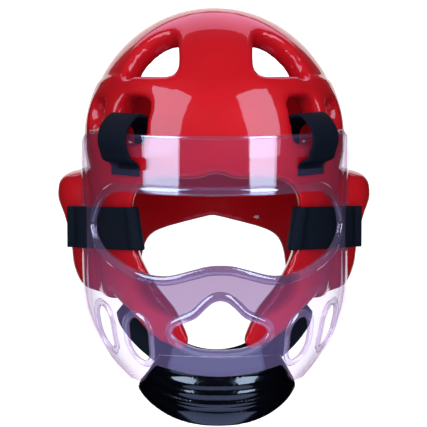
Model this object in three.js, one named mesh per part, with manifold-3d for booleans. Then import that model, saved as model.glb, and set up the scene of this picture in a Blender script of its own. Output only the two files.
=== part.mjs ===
// Sparring head guard with a clear face shield, for an adult head of about 56 cm.
// Millimetres, +Z up, the face looks along -Y, +X is the wearer's left.
// The origin is where the top of the head meets the inside of the crown.
import * as THREE from 'three';
import { mergeVertices } from 'three/addons/utils/BufferGeometryUtils.js';
import Module from 'manifold-3d';

const wasm = await Module();
wasm.setup();

// Driving dimensions of the foam guard
const headHalfWidth = 79;
const headHalfLength = 97;
const crownRise = 83;
const foamWall = 16.5;
const stripWidth = 57;
const archFront = 46;
const archBack = 36;
const browEdgeDrop = 101.5;
const browNotchRise = 5;
const bandTopDrop = 31;
const rearBandTopDrop = 52;
const faceHalfWidth = 59;
const jawDrop = 224;
const chinGap = 36;
const neckApexDrop = 148;
const neckSideDrop = 159;
const neckNotchHalfWidth = 54;
const earGuardFlare = 24;
const earGuardTopDrop = 105;
const earGuardHeight = 91;
const earGuardFront = 22;
const earGuardBack = 60;
const earPocketDepth = 12;
const earPocketLength = 44;
const earPocketHeight = 62;
const earHoleWidth = 24;
const earHoleHeight = 32;
const templeVentLength = 26;
const templeVentHeight = 18;
const templeVentDrop = 60;
const templeVentForward = 41;
const strapHoleTopDrop = 47;
const strapHoleFootDrop = 79;
const strapHoleCorner = 8;

// Driving dimensions of the shield
const shieldWall = 3;
const shieldSideGap = 1.3;
const shieldFrontGap = 9.5;
const shieldTopDrop = 71;
const shieldFrontDrop = 239;
const shieldSideLonger = 11;
const shieldTurn = 1.1;
const shieldNotchHalfWidth = 46;
const shieldCornerRise = 6;
const shieldSideSetback = 22;
const rimWidth = 5;
const rimRise = 1.4;
const eyeHalfWidth = 89;
const eyeTopDrop = 111.5;
const eyeHeight = 56.5;
const mouthHalfWidth = 33.5;
const mouthTopDrop = 184;
const mouthHeight = 35;
const ventLength = 32;
const ventWidth = 22;
const ventRimWidth = 4;

// Driving dimensions of the chin cup, the webbing and the clearances
const cupHalfWidth = 57.5;
const cupLap = 14;
const cupHeight = 52.5;
const cupEndRise = 19;
const cupWall = 7;
const cupBulge = 7;
const cupFloorReach = 26;
const cupRibDepth = 1.5;
const cupRibCount = 3;
const cupFloorWall = 3;
const webbing = 2.4;
const browStrapWidth = 28;
const browStrapX = 64;
const browStrapBulge = 12;
const browSlotBelowHole = 12;
const sideStrapWidth = 30.5;
const sideStrapFrontDrop = 138;
const sideStrapBackDrop = 146;
const sideStrapSlant = 4.5;
const sideSlotAhead = 13;
const sideSlotLength = 14;
const chinStrapWidth = 25;
const chinStrapEndDrop = 198;
const chinStrapSplay = 8;
const chinStrapOverFloor = 18.5;
const clearance = 0.4;
const strapRoom = 4;

const half = 0.5;
const degree = Math.PI / 180;

// The outer faces follow from the head and the foam
const outerHalfWidth = headHalfWidth + foamWall;
const outerHalfLength = headHalfLength + foamWall;
const widestZ = -crownRise;
const bodyDrop = 1.064 * (jawDrop - crownRise);
const browEdgeZ = -browEdgeDrop;
const earGuardReach = outerHalfWidth + earGuardFlare;
const shieldHalfWidth = outerHalfWidth + shieldWall + shieldSideGap;
const shieldReach = outerHalfLength + shieldWall + shieldFrontGap;
const shieldSideDrop = shieldFrontDrop + shieldSideLonger;
const cupTopDrop = shieldFrontDrop - cupLap;
const cupBottomDrop = cupTopDrop + cupHeight;
const strapGap = webbing + 2 * clearance;

// Solids

function closedMesh(points, triangles) {
  const geometry = new THREE.BufferGeometry();
  const numbers = points.flatMap((p) => [p.x, p.y, p.z]);
  geometry.setAttribute('position', new THREE.Float32BufferAttribute(numbers, 3));
  geometry.setIndex(triangles);
  return geometry;
}

function solidOf(geometry) {
  const bare = geometry.clone();
  bare.deleteAttribute('normal');
  bare.deleteAttribute('uv');
  const merged = mergeVertices(bare, 1e-4);
  const vertProperties = new Float32Array(merged.attributes.position.array);
  const triVerts = new Uint32Array(merged.index.array);
  const solid = new wasm.Manifold(new wasm.Mesh({ numProp: 3, vertProperties, triVerts }));
  if (solid.volume() > 0) {
    return solid;
  }
  for (let i = 0; i < triVerts.length; i += 3) {
    [triVerts[i], triVerts[i + 1]] = [triVerts[i + 1], triVerts[i]];
  }
  return new wasm.Manifold(new wasm.Mesh({ numProp: 3, vertProperties, triVerts }));
}

function geometryOf(solid) {
  const mesh = solid.getMesh();
  const geometry = new THREE.BufferGeometry();
  geometry.setAttribute('position', new THREE.Float32BufferAttribute(mesh.vertProperties, 3));
  geometry.setIndex(Array.from(mesh.triVerts));
  return geometry;
}

// Skins a stack of rings that all have the same number of points, and closes both ends with a fan
function loft(rings) {
  const count = rings[0].length;
  const points = rings.flat();
  const triangles = [];
  for (let row = 0; row < rings.length - 1; row += 1) {
    for (let i = 0; i < count; i += 1) {
      const a = row * count + i;
      const b = row * count + ((i + 1) % count);
      triangles.push(a, b, a + count, b, b + count, a + count);
    }
  }
  for (const row of [0, rings.length - 1]) {
    const centre = new THREE.Vector3();
    rings[row].forEach((p) => centre.add(p));
    points.push(centre.divideScalar(count));
    for (let i = 0; i < count; i += 1) {
      const a = row * count + i;
      const b = row * count + ((i + 1) % count);
      triangles.push(...(row === 0 ? [b, a, points.length - 1] : [a, b, points.length - 1]));
    }
  }
  return solidOf(closedMesh(points, triangles));
}

// A flat outline in the front view, pushed through along Y
function frontPrism(outline, fromY, toY) {
  const shape = new THREE.Shape(outline.map(([x, z]) => new THREE.Vector2(x, z)));
  const geometry = new THREE.ExtrudeGeometry(shape, { depth: toY - fromY, bevelEnabled: false });
  geometry.rotateX(90 * degree);
  geometry.translate(0, toY, 0);
  return solidOf(geometry);
}

// A flat outline in the side view, given as y and z, pushed through along X
function sidePrism(outline, fromX, toX) {
  const shape = new THREE.Shape(outline.map(([y, z]) => new THREE.Vector2(y, z)));
  const geometry = new THREE.ExtrudeGeometry(shape, { depth: toX - fromX, bevelEnabled: false });
  geometry.rotateX(90 * degree);
  geometry.rotateZ(90 * degree);
  geometry.translate(fromX, 0, 0);
  return solidOf(geometry);
}

// A rounded oblong, pushed through along the outward direction of a wall.
// The place is its middle, the bearing turns -Y towards +X, and the lean turns it in its own face.
function oblongPrism(place, bearing, lean, width, height, reach, corner = half * Math.min(width, height)) {
  const spareX = half * width - corner;
  const spareZ = half * height - corner;
  const shape = new THREE.Shape();
  const steps = 6;
  for (let i = 0; i < 2 * steps; i += 1) {
    const turn = ((i + half) / steps) * Math.PI;
    const x = Math.sign(Math.cos(turn)) * spareX + corner * Math.cos(turn);
    const z = Math.sign(Math.sin(turn)) * spareZ + corner * Math.sin(turn);
    shape[i === 0 ? 'moveTo' : 'lineTo'](x, z);
  }
  shape.closePath();
  const geometry = new THREE.ExtrudeGeometry(shape, { depth: 2 * reach, bevelEnabled: false });
  geometry.translate(0, 0, -reach);
  geometry.rotateZ(lean * degree);
  geometry.rotateX(90 * degree);
  geometry.rotateZ(bearing * degree);
  geometry.translate(place.x, place.y, place.z);
  return solidOf(geometry);
}

// Both halves of an outline from the half at +X, listed from the middle of the top to the middle below
function mirrored(rightHalf) {
  const leftHalf = rightHalf.filter(([x]) => x > 0).map(([x, z]) => [-x, z]);
  return [...rightHalf, ...leftHalf.reverse()];
}

// Points on a smooth curve through a short table of places
function smoothed(table, steps, closed = false) {
  const places = table.map((row) => new THREE.Vector3(...row));
  const curve = new THREE.CatmullRomCurve3(places, closed, 'centripetal');
  const points = curve.getPoints(steps);
  return closed ? points.slice(0, -1) : points;
}

// Head form

// Each row is a level below the widest one: drop as a share of bodyDrop, and the shares of the
// outer half width, of the reach to the front and of the reach to the back
const bodyRows = [
  { drop: 0, width: 1, front: 1, back: 1 },
  { drop: 0.14, width: 0.975, front: 0.995, back: 0.995 },
  { drop: 0.3, width: 0.952, front: 0.986, back: 0.978 },
  { drop: 0.46, width: 0.945, front: 0.972, back: 0.945 },
  { drop: 0.6, width: 0.93, front: 0.96, back: 0.91 },
  { drop: 0.76, width: 0.89, front: 0.95, back: 0.88 },
  { drop: 0.9, width: 0.84, front: 0.945, back: 0.86 },
  { drop: 1, width: 0.79, front: 0.94, back: 0.85 },
];
const crownLatitudes = [80, 68, 55, 42, 28, 14];

function bodyRowAt(z) {
  const drop = Math.min(Math.max((widestZ - z) / bodyDrop, 0), 1);
  const upper = bodyRows.findLastIndex((row) => row.drop <= drop);
  const a = bodyRows[upper];
  const b = bodyRows[Math.min(upper + 1, bodyRows.length - 1)];
  const along = a === b ? 0 : (drop - a.drop) / (b.drop - a.drop);
  const mix = (key) => a[key] + along * (b[key] - a[key]);
  return { width: mix('width'), front: mix('front'), back: mix('back') };
}

// Half width, front reach and back reach of the form at a level, inset by some depth of foam
function formAt(z, inset) {
  if (z <= widestZ) {
    const row = bodyRowAt(z);
    return {
      width: row.width * outerHalfWidth - inset,
      front: row.front * outerHalfLength - inset,
      back: row.back * outerHalfLength - inset,
    };
  }
  const rise = (z - widestZ) / (crownRise + foamWall - inset);
  const share = Math.sqrt(Math.max(1 - rise * rise, 0));
  const reach = (outerHalfLength - inset) * share;
  return { width: (outerHalfWidth - inset) * share, front: reach, back: reach };
}

function formRing(z, inset, count) {
  const form = formAt(z, inset);
  const ring = [];
  for (let i = 0; i < count; i += 1) {
    const turn = (2 * Math.PI * i) / count;
    const reach = Math.cos(turn) > 0 ? form.front : form.back;
    ring.push(new THREE.Vector3(form.width * Math.sin(turn), -reach * Math.cos(turn), z));
  }
  return ring;
}

function formSolid(inset, count, extraDrop) {
  const rise = crownRise + foamWall - inset;
  const levels = crownLatitudes.map((latitude) => widestZ + rise * Math.sin(latitude * degree));
  levels.push(...bodyRows.map((row) => widestZ - row.drop * bodyDrop));
  const rings = levels.map((z) => formRing(z, inset, count));
  const lowest = rings.at(-1);
  rings.push(lowest.map((p) => new THREE.Vector3(p.x, p.y, p.z - 1 - extraDrop)));
  const pole = new THREE.Vector3(0, 0, widestZ + rise);
  const tip = rings[0].map((p) => new THREE.Vector3().lerpVectors(pole, p, 0.02).setZ(pole.z));
  return loft([tip, ...rings]);
}

// A place on the outer face: x across, z up, front side, with the bearing of its outward direction
function outerPlace(x, z, inset = 0) {
  const form = formAt(z, inset);
  const along = Math.sqrt(Math.max(1 - (x / form.width) ** 2, 0));
  const y = -form.front * along;
  const bearing = Math.atan2(x / form.width ** 2, -y / form.front ** 2) / degree;
  return { place: new THREE.Vector3(x, y, z), bearing };
}

// Foam shell

// The face opening, from the top of the brow notch down one side: across as a share of
// faceHalfWidth, down as a share of the way from the brow edge to the jaw, and at the tips of the
// cheek limbs the spread as a share of half the chin gap
function faceOpening() {
  const jawHeight = jawDrop - browEdgeDrop;
  const rows = [
    { across: 0.2, down: 0 },
    { across: 0.72, down: 0.008 },
    { across: 0.9, down: 0.05 },
    { across: 0.985, down: 0.13 },
    { across: 1, down: 0.26 },
    { across: 0.97, down: 0.38 },
    { across: 0.88, down: 0.5 },
    { across: 0.72, down: 0.63 },
    { across: 0.48, down: 0.76 },
  ];
  const tipRows = [
    { spread: 1.22, down: 0.87 },
    { spread: 1, down: 0.94 },
    { spread: 1.28, down: 1 },
    { spread: 1.89, down: 1.05 },
    { spread: 1.89, down: 1.4 },
  ];
  const side = rows.map((row) => [row.across * faceHalfWidth, browEdgeZ - row.down * jawHeight]);
  const tips = tipRows.map((row) => [row.spread * half * chinGap, browEdgeZ - row.down * jawHeight]);
  return mirrored([[0, browEdgeZ + browNotchRise], ...side, ...tips]);
}

// The lower edge seen from the side: y as a share of the outer half length, z as a share of jawDrop
function hemLine() {
  const rows = [
    { along: -1.2, drop: 1.0 },
    { along: -0.86, drop: 1.0 },
    { along: -0.75, drop: 0.955 },
    { along: -0.62, drop: 0.89 },
    { along: -0.46, drop: 0.855 },
    { along: -0.3, drop: 0.875 },
    { along: 0.36, drop: 0.875 },
    { along: 0.52, drop: 0.855 },
    { along: 0.7, drop: 0.82 },
    { along: 1.2, drop: 0.8 },
  ];
  const line = rows.map((row) => [row.along * outerHalfLength, -row.drop * jawDrop]);
  const deep = -2 * jawDrop;
  return [...line, [line.at(-1)[0], deep], [line[0][0], deep]];
}

// The notch over the nape: an upside-down V with soft arms, seen from behind
function neckNotch() {
  const armHeight = neckSideDrop - neckApexDrop;
  const rows = [
    { across: 0.4, down: 0.46 },
    { across: 0.72, down: 0.8 },
    { across: 0.88, down: 1.05 },
    { across: 0.97, down: 1.5 },
    { across: 1.02, down: 2.2 },
    { across: 1.04, down: 3.4 },
    { across: 1.04, down: 12 },
  ];
  const side = rows.map((row) => [row.across * neckNotchHalfWidth, -neckApexDrop - row.down * armHeight]);
  return mirrored([[0, -neckApexDrop], ...side]);
}

// The openings beside the crown strip, as closed outlines seen from above. Their corners are given
// across as a share of the way from the strip to the widest point of the band's edge, and along as a
// share of the way from the arch to the band's edge on the centre line.
const topVentRows = [
  { across: 0, along: 0.835 },
  { across: 0.33, along: 0.64 },
  { across: 0.56, along: 0.42 },
  { across: 0.68, along: 0.27 },
  { across: 0.69, along: 0.19 },
  { across: 0.62, along: 0.1 },
  { across: 0.37, along: -0.02 },
  { across: 0.14, along: 0.03 },
  { across: 0.02, along: 0.14 },
  { across: 0, along: 0.3 },
];

// The cutter narrows towards the middle of the head, so that it leaves square edges in the dome
const cutterReach = { outer: 1.3, inner: 0.5 };

function topVent(sideways, frontways) {
  const inner = half * stripWidth;
  const drop = frontways < 0 ? bandTopDrop : rearBandTopDrop;
  const arch = frontways < 0 ? archFront : archBack;
  const form = formAt(-drop, 0);
  const corners = topVentRows.map((row) => [
    sideways * (inner + row.across * (form.width - inner)),
    frontways * (arch + row.along * (form.front - arch)),
    0,
  ]);
  const centre = new THREE.Vector3(0, 0, widestZ);
  const outline = smoothed(corners, 28, true).map((p) => {
    const level = Math.max(1 - (p.x / outerHalfWidth) ** 2 - (p.y / outerHalfLength) ** 2, 0);
    return new THREE.Vector3(p.x, p.y, widestZ + (crownRise + foamWall) * Math.sqrt(level));
  });
  const shares = [cutterReach.outer, cutterReach.inner];
  return loft(shares.map((share) => outline.map((p) => centre.clone().lerp(p, share))));
}

// The flared pad over one ear. Each row is a level: how far down the pad, how far out it reaches as
// a share of earGuardReach, and how far it spreads fore and aft as a share of its full length.
const earGuardRows = [
  { down: 0, reach: 0.86, spread: 0.62 },
  { down: 0.015, reach: 0.93, spread: 0.76 },
  { down: 0.05, reach: 0.975, spread: 0.88 },
  { down: 0.12, reach: 1, spread: 0.96 },
  { down: 0.24, reach: 0.998, spread: 1 },
  { down: 0.42, reach: 0.965, spread: 1 },
  { down: 0.6, reach: 0.935, spread: 0.98 },
  { down: 0.78, reach: 0.9, spread: 0.92 },
  { down: 0.92, reach: 0.865, spread: 0.82 },
  { down: 1, reach: 0.83, spread: 0.7 },
];

const earGuardMiddleY = half * (earGuardBack - earGuardFront);
const earGuardMiddleZ = -earGuardTopDrop - half * earGuardHeight;
const earGuardHalfLength = half * (earGuardBack + earGuardFront);
const earGuardFullness = 0.62;

function earGuardPlan(row, t) {
  const foot = headHalfWidth + 0.2 * foamWall;
  const swell = Math.max(1 - t * t, 0) ** earGuardFullness;
  const x = foot + (row.reach * earGuardReach - foot) * swell;
  return { x, y: earGuardMiddleY + t * earGuardHalfLength * row.spread };
}

function earGuard(side) {
  const steps = 12;
  const rings = earGuardRows.map((row) => {
    const z = -earGuardTopDrop - row.down * earGuardHeight;
    const ring = [];
    for (let i = 0; i <= steps; i += 1) {
      const { x, y } = earGuardPlan(row, -Math.cos((i / steps) * Math.PI));
      ring.push(new THREE.Vector3(side * x, y, z));
    }
    const inner = headHalfWidth - half * foamWall;
    ring.push(new THREE.Vector3(side * inner, ring.at(-1).y, z));
    ring.push(new THREE.Vector3(side * inner, ring[0].y, z));
    return ring;
  });
  return loft(rings);
}

function earPocket(side) {
  const place = new THREE.Vector3(side * headHalfWidth, earGuardMiddleY, earGuardMiddleZ);
  const reach = 0.3 * foamWall + earPocketDepth;
  return oblongPrism(place, side * 90, 0, earPocketLength, earPocketHeight, reach);
}

function earHole(side) {
  const place = new THREE.Vector3(side * earGuardReach, earGuardMiddleY, earGuardMiddleZ);
  return oblongPrism(place, side * 90, 0, earHoleWidth, earHoleHeight, 4 * foamWall);
}

function templeVent(side) {
  const place = new THREE.Vector3(side * outerHalfWidth, -templeVentForward, -templeVentDrop);
  return oblongPrism(place, side * 90, 0, templeVentLength, templeVentHeight, 3 * foamWall);
}

// The oblong hole that a brow strap comes out of: its foot is the top of the bar under it.
// The straps follow the shield, which sits a little turned.
const strapHoleHeight = strapHoleFootDrop - strapHoleTopDrop;
const browStrapShift = Math.sin(shieldTurn * degree) * 0.75 * outerHalfLength;
const browStrapBarZ = -half * (strapHoleFootDrop + browEdgeDrop);

function browStrapAt(side) {
  return outerPlace(side * browStrapX + browStrapShift, browStrapBarZ);
}

function strapHole(side) {
  const { place, bearing } = browStrapAt(side);
  place.z = -half * (strapHoleTopDrop + strapHoleFootDrop);
  const width = browStrapWidth + half * strapRoom + clearance;
  return oblongPrism(place, bearing, 0, width, strapHoleHeight, 2.5 * foamWall, strapHoleCorner);
}

function foamShell() {
  const outer = formSolid(0, 48, 0);
  const inner = formSolid(foamWall, 40, foamWall);
  let shell = outer;
  for (const side of [-1, 1]) {
    shell = shell.add(earGuard(side));
  }
  shell = shell.subtract(inner);
  for (const side of [-1, 1]) {
    for (const frontways of [-1, 1]) {
      shell = shell.subtract(topVent(side, frontways));
    }
    shell = shell.subtract(earPocket(side)).subtract(earHole(side));
    shell = shell.subtract(templeVent(side)).subtract(strapHole(side));
  }
  shell = shell.subtract(frontPrism(faceOpening(), -2 * outerHalfLength, -0.18 * outerHalfLength));
  shell = shell.subtract(frontPrism(neckNotch(), 0.4 * outerHalfLength, 2 * outerHalfLength));
  shell = shell.subtract(sidePrism(hemLine(), -2 * earGuardReach, 2 * earGuardReach));
  return shell;
}

// Face shield

// Each row is a level of the shield: how far down it lies between the upper and the lower edge, the
// shares of the half width and of the reach forward, and how far its side edge stands back from
// the widest line, as a share of shieldSideSetback
const shieldRows = [
  { down: 0, width: 1, front: 0.983, setback: 2.3 },
  { down: 0.03, width: 1.002, front: 0.985, setback: 1.5 },
  { down: 0.085, width: 1.003, front: 0.989, setback: 1.08 },
  { down: 0.19, width: 1.003, front: 0.994, setback: 1 },
  { down: 0.36, width: 1, front: 0.995, setback: 1 },
  { down: 0.54, width: 0.997, front: 1.003, setback: 1 },
  { down: 0.637, width: 0.993, front: 1.003, setback: 1.02 },
  { down: 0.721, width: 0.978, front: 0.997, setback: 1.12 },
  { down: 0.7975, width: 0.942, front: 0.978, setback: 1.37 },
  { down: 0.867, width: 0.89, front: 0.949, setback: 1.67 },
  { down: 0.937, width: 0.818, front: 0.907, setback: 2.1 },
  { down: 1, width: 0.735, front: 0.86, setback: 2.6 },
];

// The section at a drop from the crown: half width, reach forward and setback in millimetres
function shieldSectionAt(drop) {
  const down = (drop - shieldTopDrop) / (shieldSideDrop - shieldTopDrop);
  const found = shieldRows.findLastIndex((row) => row.down <= down);
  const upper = Math.min(Math.max(found, 0), shieldRows.length - 2);
  const a = shieldRows[upper];
  const b = shieldRows[upper + 1];
  const along = (down - a.down) / (b.down - a.down);
  const mix = (key) => a[key] + along * (b[key] - a[key]);
  return {
    width: mix('width') * shieldHalfWidth,
    reach: mix('front') * shieldReach,
    setback: mix('setback') * shieldSideSetback,
  };
}

// One level of the plate between two depths inside its outer face, as a flat horseshoe
function shieldRing(drop, depthOut, depthIn, steps) {
  const { width, reach, setback } = shieldSectionAt(drop);
  const z = -drop;
  const edge = Math.acos(setback / reach);
  const arc = (depth, from, to) => Array.from({ length: steps + 1 }, (_, i) => {
    const turn = from + ((to - from) * i) / steps;
    return new THREE.Vector3((width - depth) * Math.sin(turn), -(reach - depth) * Math.cos(turn), z);
  });
  return [...arc(depthOut, -edge, edge), ...arc(depthIn, edge, -edge)];
}

// The plate skinned between its outer and inner faces, each face and edge as its own strip
function shieldPlate(depthOut, depthIn) {
  const steps = 24;
  const drops = shieldRows.map((row) => shieldTopDrop + row.down * (shieldSideDrop - shieldTopDrop));
  const rings = drops.map((drop) => shieldRing(drop, depthOut, depthIn, steps));
  const count = rings[0].length;
  const points = rings.flat();
  const triangles = [];
  for (let row = 0; row < rings.length - 1; row += 1) {
    for (let i = 0; i < count; i += 1) {
      const a = row * count + i;
      const b = row * count + ((i + 1) % count);
      triangles.push(a, b, a + count, b, b + count, a + count);
    }
  }
  const last = (rings.length - 1) * count;
  for (let i = 0; i < steps; i += 1) {
    const outA = i;
    const outB = i + 1;
    const inA = count - 1 - i;
    const inB = count - 2 - i;
    triangles.push(outB, outA, inA, outB, inA, inB);
    triangles.push(last + outA, last + outB, last + inA, last + outB, last + inB, last + inA);
  }
  return solidOf(closedMesh(points, triangles));
}

// Both openings are drawn as half outlines, x and z as shares of their own half width and height.
// A rim is the same outline grown outwards by rimWidth.
const eyeRows = [
  { across: 0, down: 0 },
  { across: 0.5, down: 0 },
  { across: 0.78, down: 0 },
  { across: 0.875, down: 0.06 },
  { across: 0.95, down: 0.2 },
  { across: 1, down: 0.44 },
  { across: 0.98, down: 0.62 },
  { across: 0.91, down: 0.77 },
  { across: 0.8, down: 0.87 },
  { across: 0.68, down: 0.95 },
  { across: 0.54, down: 1 },
  { across: 0.4, down: 0.995 },
  { across: 0.23, down: 0.92 },
  { across: 0.1, down: 0.865 },
  { across: 0, down: 0.855 },
];
const mouthRows = [
  { across: 0, down: 0 },
  { across: 0.14, down: 0.03 },
  { across: 0.3, down: 0.15 },
  { across: 0.5, down: 0.34 },
  { across: 0.72, down: 0.45 },
  { across: 0.92, down: 0.54 },
  { across: 1, down: 0.64 },
  { across: 0.97, down: 0.73 },
  { across: 0.82, down: 0.85 },
  { across: 0.5, down: 0.97 },
  { across: 0.2, down: 1 },
  { across: 0, down: 1 },
];

function openingOutline(rows, halfWidth, height, topDrop, steps) {
  const right = rows.map((row) => [row.across * halfWidth, -topDrop - row.down * height]);
  const whole = mirrored(right).map(([x, z]) => [x, 0, z]);
  return smoothed(whole, steps, true).map((p) => [p.x, p.z]);
}

// The outline moved outwards by an even distance
function grown(outline, distance) {
  const count = outline.length;
  let area = 0;
  for (let i = 0; i < count; i += 1) {
    const [x0, z0] = outline[i];
    const [x1, z1] = outline[(i + 1) % count];
    area += x0 * z1 - x1 * z0;
  }
  const outwards = Math.sign(area);
  return outline.map(([x, z], i) => {
    const [xa, za] = outline[(i + count - 1) % count];
    const [xb, zb] = outline[(i + 1) % count];
    const length = Math.hypot(xb - xa, zb - za);
    return [x + (outwards * distance * (zb - za)) / length, z - (outwards * distance * (xb - xa)) / length];
  });
}

// The air vents of one side: the middle across as a share of the half width, its drop as a share of
// shieldSideDrop, and the lean of the long side in degrees
const ventRows = [
  { across: 0.571, drop: 0.86, lean: 11 },
  { across: 0.812, drop: 0.844, lean: 13 },
];

function shieldPlace(x, z) {
  const { width, reach } = shieldSectionAt(-z);
  const y = -reach * Math.sqrt(Math.max(1 - (x / width) ** 2, 0));
  const bearing = Math.atan2(x / width ** 2, -y / reach ** 2) / degree;
  return { place: new THREE.Vector3(x, y, z), bearing };
}

function ventPrism(vent, side, grow) {
  const { place, bearing } = shieldPlace(vent.across * shieldHalfWidth, -vent.drop * shieldSideDrop);
  place.x *= side;
  const reach = 4.7 * shieldWall;
  return oblongPrism(place, side * bearing, side * vent.lean, ventWidth + grow, ventLength + grow, reach);
}

// The lower end of the shield: the front is cut higher than the sides, in a shallow smile. Across is
// a share of shieldNotchHalfWidth and rise a share of shieldCornerRise.
const lowerEdgeRows = [
  { across: 0, rise: 0 },
  { across: 0.5, rise: 0.3 },
  { across: 0.86, rise: 0.85 },
  { across: 0.95, rise: 1 },
  { across: 1.02, rise: 0.6 },
];

function lowerCut() {
  const edge = lowerEdgeRows.map((row) => [
    row.across * shieldNotchHalfWidth,
    -shieldFrontDrop + row.rise * shieldCornerRise,
  ]);
  const sideX = 1.2 * shieldNotchHalfWidth;
  const right = [...edge, [sideX, -shieldSideDrop], [sideX, -1.2 * shieldSideDrop]];
  return frontPrism(mirrored(right), -2 * shieldReach, -0.4 * shieldReach);
}

// The slots that the brow straps and the side straps go through
const browSlotZ = -strapHoleFootDrop - browSlotBelowHole;
const sideSlotY = -earGuardFront - sideSlotAhead;
const slotReach = 5 * shieldWall;
const slotCorner = half * shieldWall;

function browSlot(side) {
  const { place, bearing } = browStrapAt(side);
  place.z = browSlotZ;
  const width = browStrapWidth + strapRoom;
  const height = webbing + 1.6 * strapRoom;
  return oblongPrism(place, bearing, 0, width, height, shieldFrontGap + slotReach, slotCorner);
}

function sideSlot(side) {
  const slotZ = -half * (sideStrapFrontDrop + sideStrapBackDrop) - half * webbing;
  const place = new THREE.Vector3(side * shieldHalfWidth, sideSlotY, slotZ);
  const height = sideStrapWidth + 1.25 * strapRoom;
  return oblongPrism(place, side * 90, 0, sideSlotLength, height, slotReach, 2 * slotCorner);
}

function faceShield() {
  const eye = openingOutline(eyeRows, eyeHalfWidth, eyeHeight, eyeTopDrop, 40);
  const mouth = openingOutline(mouthRows, mouthHalfWidth, mouthHeight, mouthTopDrop, 26);
  const through = (outline) => frontPrism(outline, -2 * shieldReach, -0.35 * shieldReach);
  let rims = through(grown(eye, rimWidth)).add(through(grown(mouth, rimWidth)));
  let holes = through(eye).add(through(mouth));
  let slots = browSlot(-1).add(browSlot(1));
  for (const side of [-1, 1]) {
    for (const vent of ventRows) {
      rims = rims.add(ventPrism(vent, side, 2 * ventRimWidth));
      holes = holes.add(ventPrism(vent, side, 0));
    }
    slots = slots.add(sideSlot(side));
  }
  const plate = shieldPlate(0, shieldWall);
  const thickPlate = shieldPlate(-rimRise, shieldWall);
  const shield = plate.add(thickPlate.intersect(rims)).subtract(holes).subtract(lowerCut());
  return shield.rotate([0, 0, shieldTurn]).subtract(slots);
}

// Chin cup

// Each row is a level of the cup: how far down it lies between the cup's upper and lower ends, and
// the half width in the front view as a share of cupHalfWidth
const cupRows = [
  { down: 0, width: 0.75 },
  { down: 0.115, width: 0.8 },
  { down: 0.265, width: 0.87 },
  { down: 0.415, width: 0.94 },
  { down: 0.56, width: 1 },
  { down: 0.71, width: 0.99 },
  { down: 0.86, width: 0.96 },
  { down: 1, width: 0.93 },
];

function cupHalfWidthAt(drop) {
  const down = (drop - cupTopDrop) / (cupBottomDrop - cupTopDrop);
  const found = cupRows.findLastIndex((row) => row.down <= down);
  const upper = Math.min(Math.max(found, 0), cupRows.length - 2);
  const a = cupRows[upper];
  const b = cupRows[upper + 1];
  return cupHalfWidth * (a.width + ((down - a.down) / (b.down - a.down)) * (b.width - a.width));
}

// One upright section of the cup's wall. The share runs from -1 at one end of the cup to 1 at the
// other. The outside fills the shield's lower end, then swells out under its edge in ribs, ends in
// a smooth lower rim and turns in under the chin.
const cupEndCurve = 2.6;
const cupUndercut = { scale: 0.035, power: 1.8 };
const cupRibSpan = { from: 0.38, length: 0.44 };

function cupPlace(share, drop, inset) {
  const held = shieldSectionAt(Math.min(drop, shieldSideDrop));
  const below = Math.max(drop - shieldSideDrop, 0);
  const seat = shieldWall + 2.4 * clearance + inset + cupUndercut.scale * below ** cupUndercut.power;
  const width = held.width - seat;
  const reach = held.reach - seat;
  const x = share * cupHalfWidthAt(drop) * (width / (width + inset));
  return new THREE.Vector3(x, -reach * Math.sqrt(Math.max(1 - (x / width) ** 2, 0.02)), -drop);
}

function cupSection(share) {
  const bottomDrop = cupBottomDrop - cupEndRise * Math.abs(share) ** cupEndCurve;
  const height = bottomDrop - cupTopDrop;
  const steps = 13;
  const swellStart = shieldFrontDrop + 2.5 * clearance;
  const swellShare = 1 - Math.abs(share) ** 3;
  const outside = [];
  for (let i = 0; i <= steps; i += 1) {
    const down = i / steps;
    const drop = cupTopDrop + down * height;
    const free = THREE.MathUtils.clamp((drop - swellStart) / cupBulge, 0, 1);
    const ribShare = THREE.MathUtils.clamp((down - cupRibSpan.from) / cupRibSpan.length, 0, 1);
    const rib = cupRibDepth * (1 - Math.cos(ribShare * cupRibCount * 2 * Math.PI)) * half;
    outside.push(cupPlace(share, drop, -free * swellShare * (cupBulge - rib)));
  }
  const floorDrop = bottomDrop - cupFloorWall;
  const inside = [
    cupPlace(share, floorDrop, cupFloorReach),
    cupPlace(share, floorDrop - 0.7 * cupWall, cupFloorReach),
    cupPlace(share, floorDrop - cupWall, 2.3 * cupWall),
    cupPlace(share, bottomDrop - 0.4 * height, 1.15 * cupWall),
    cupPlace(share, cupTopDrop + 0.33 * height, cupWall),
    cupPlace(share, cupTopDrop, 0.6 * cupWall),
  ];
  return [...outside, ...inside];
}

function chinCup() {
  const steps = 20;
  const sections = Array.from({ length: steps + 1 }, (_, i) => cupSection((2 * i) / steps - 1));
  return loft(sections).rotate([0, 0, shieldTurn]);
}

// Webbing

// A band laid along a path in one plane and pushed to its width
function extrudedBand(path, thickness, width) {
  const last = path.length - 1;
  const offset = (distance) => path.map(([u, v], i) => {
    const [ua, va] = path[Math.max(i - 1, 0)];
    const [ub, vb] = path[Math.min(i + 1, last)];
    const length = Math.hypot(ub - ua, vb - va);
    return new THREE.Vector2(u - (distance * (vb - va)) / length, v + (distance * (ub - ua)) / length);
  });
  const shape = new THREE.Shape([...offset(half * thickness), ...offset(-half * thickness).reverse()]);
  const geometry = new THREE.ExtrudeGeometry(shape, { depth: width, bevelEnabled: false });
  geometry.translate(0, 0, -half * width);
  return geometry;
}

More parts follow.
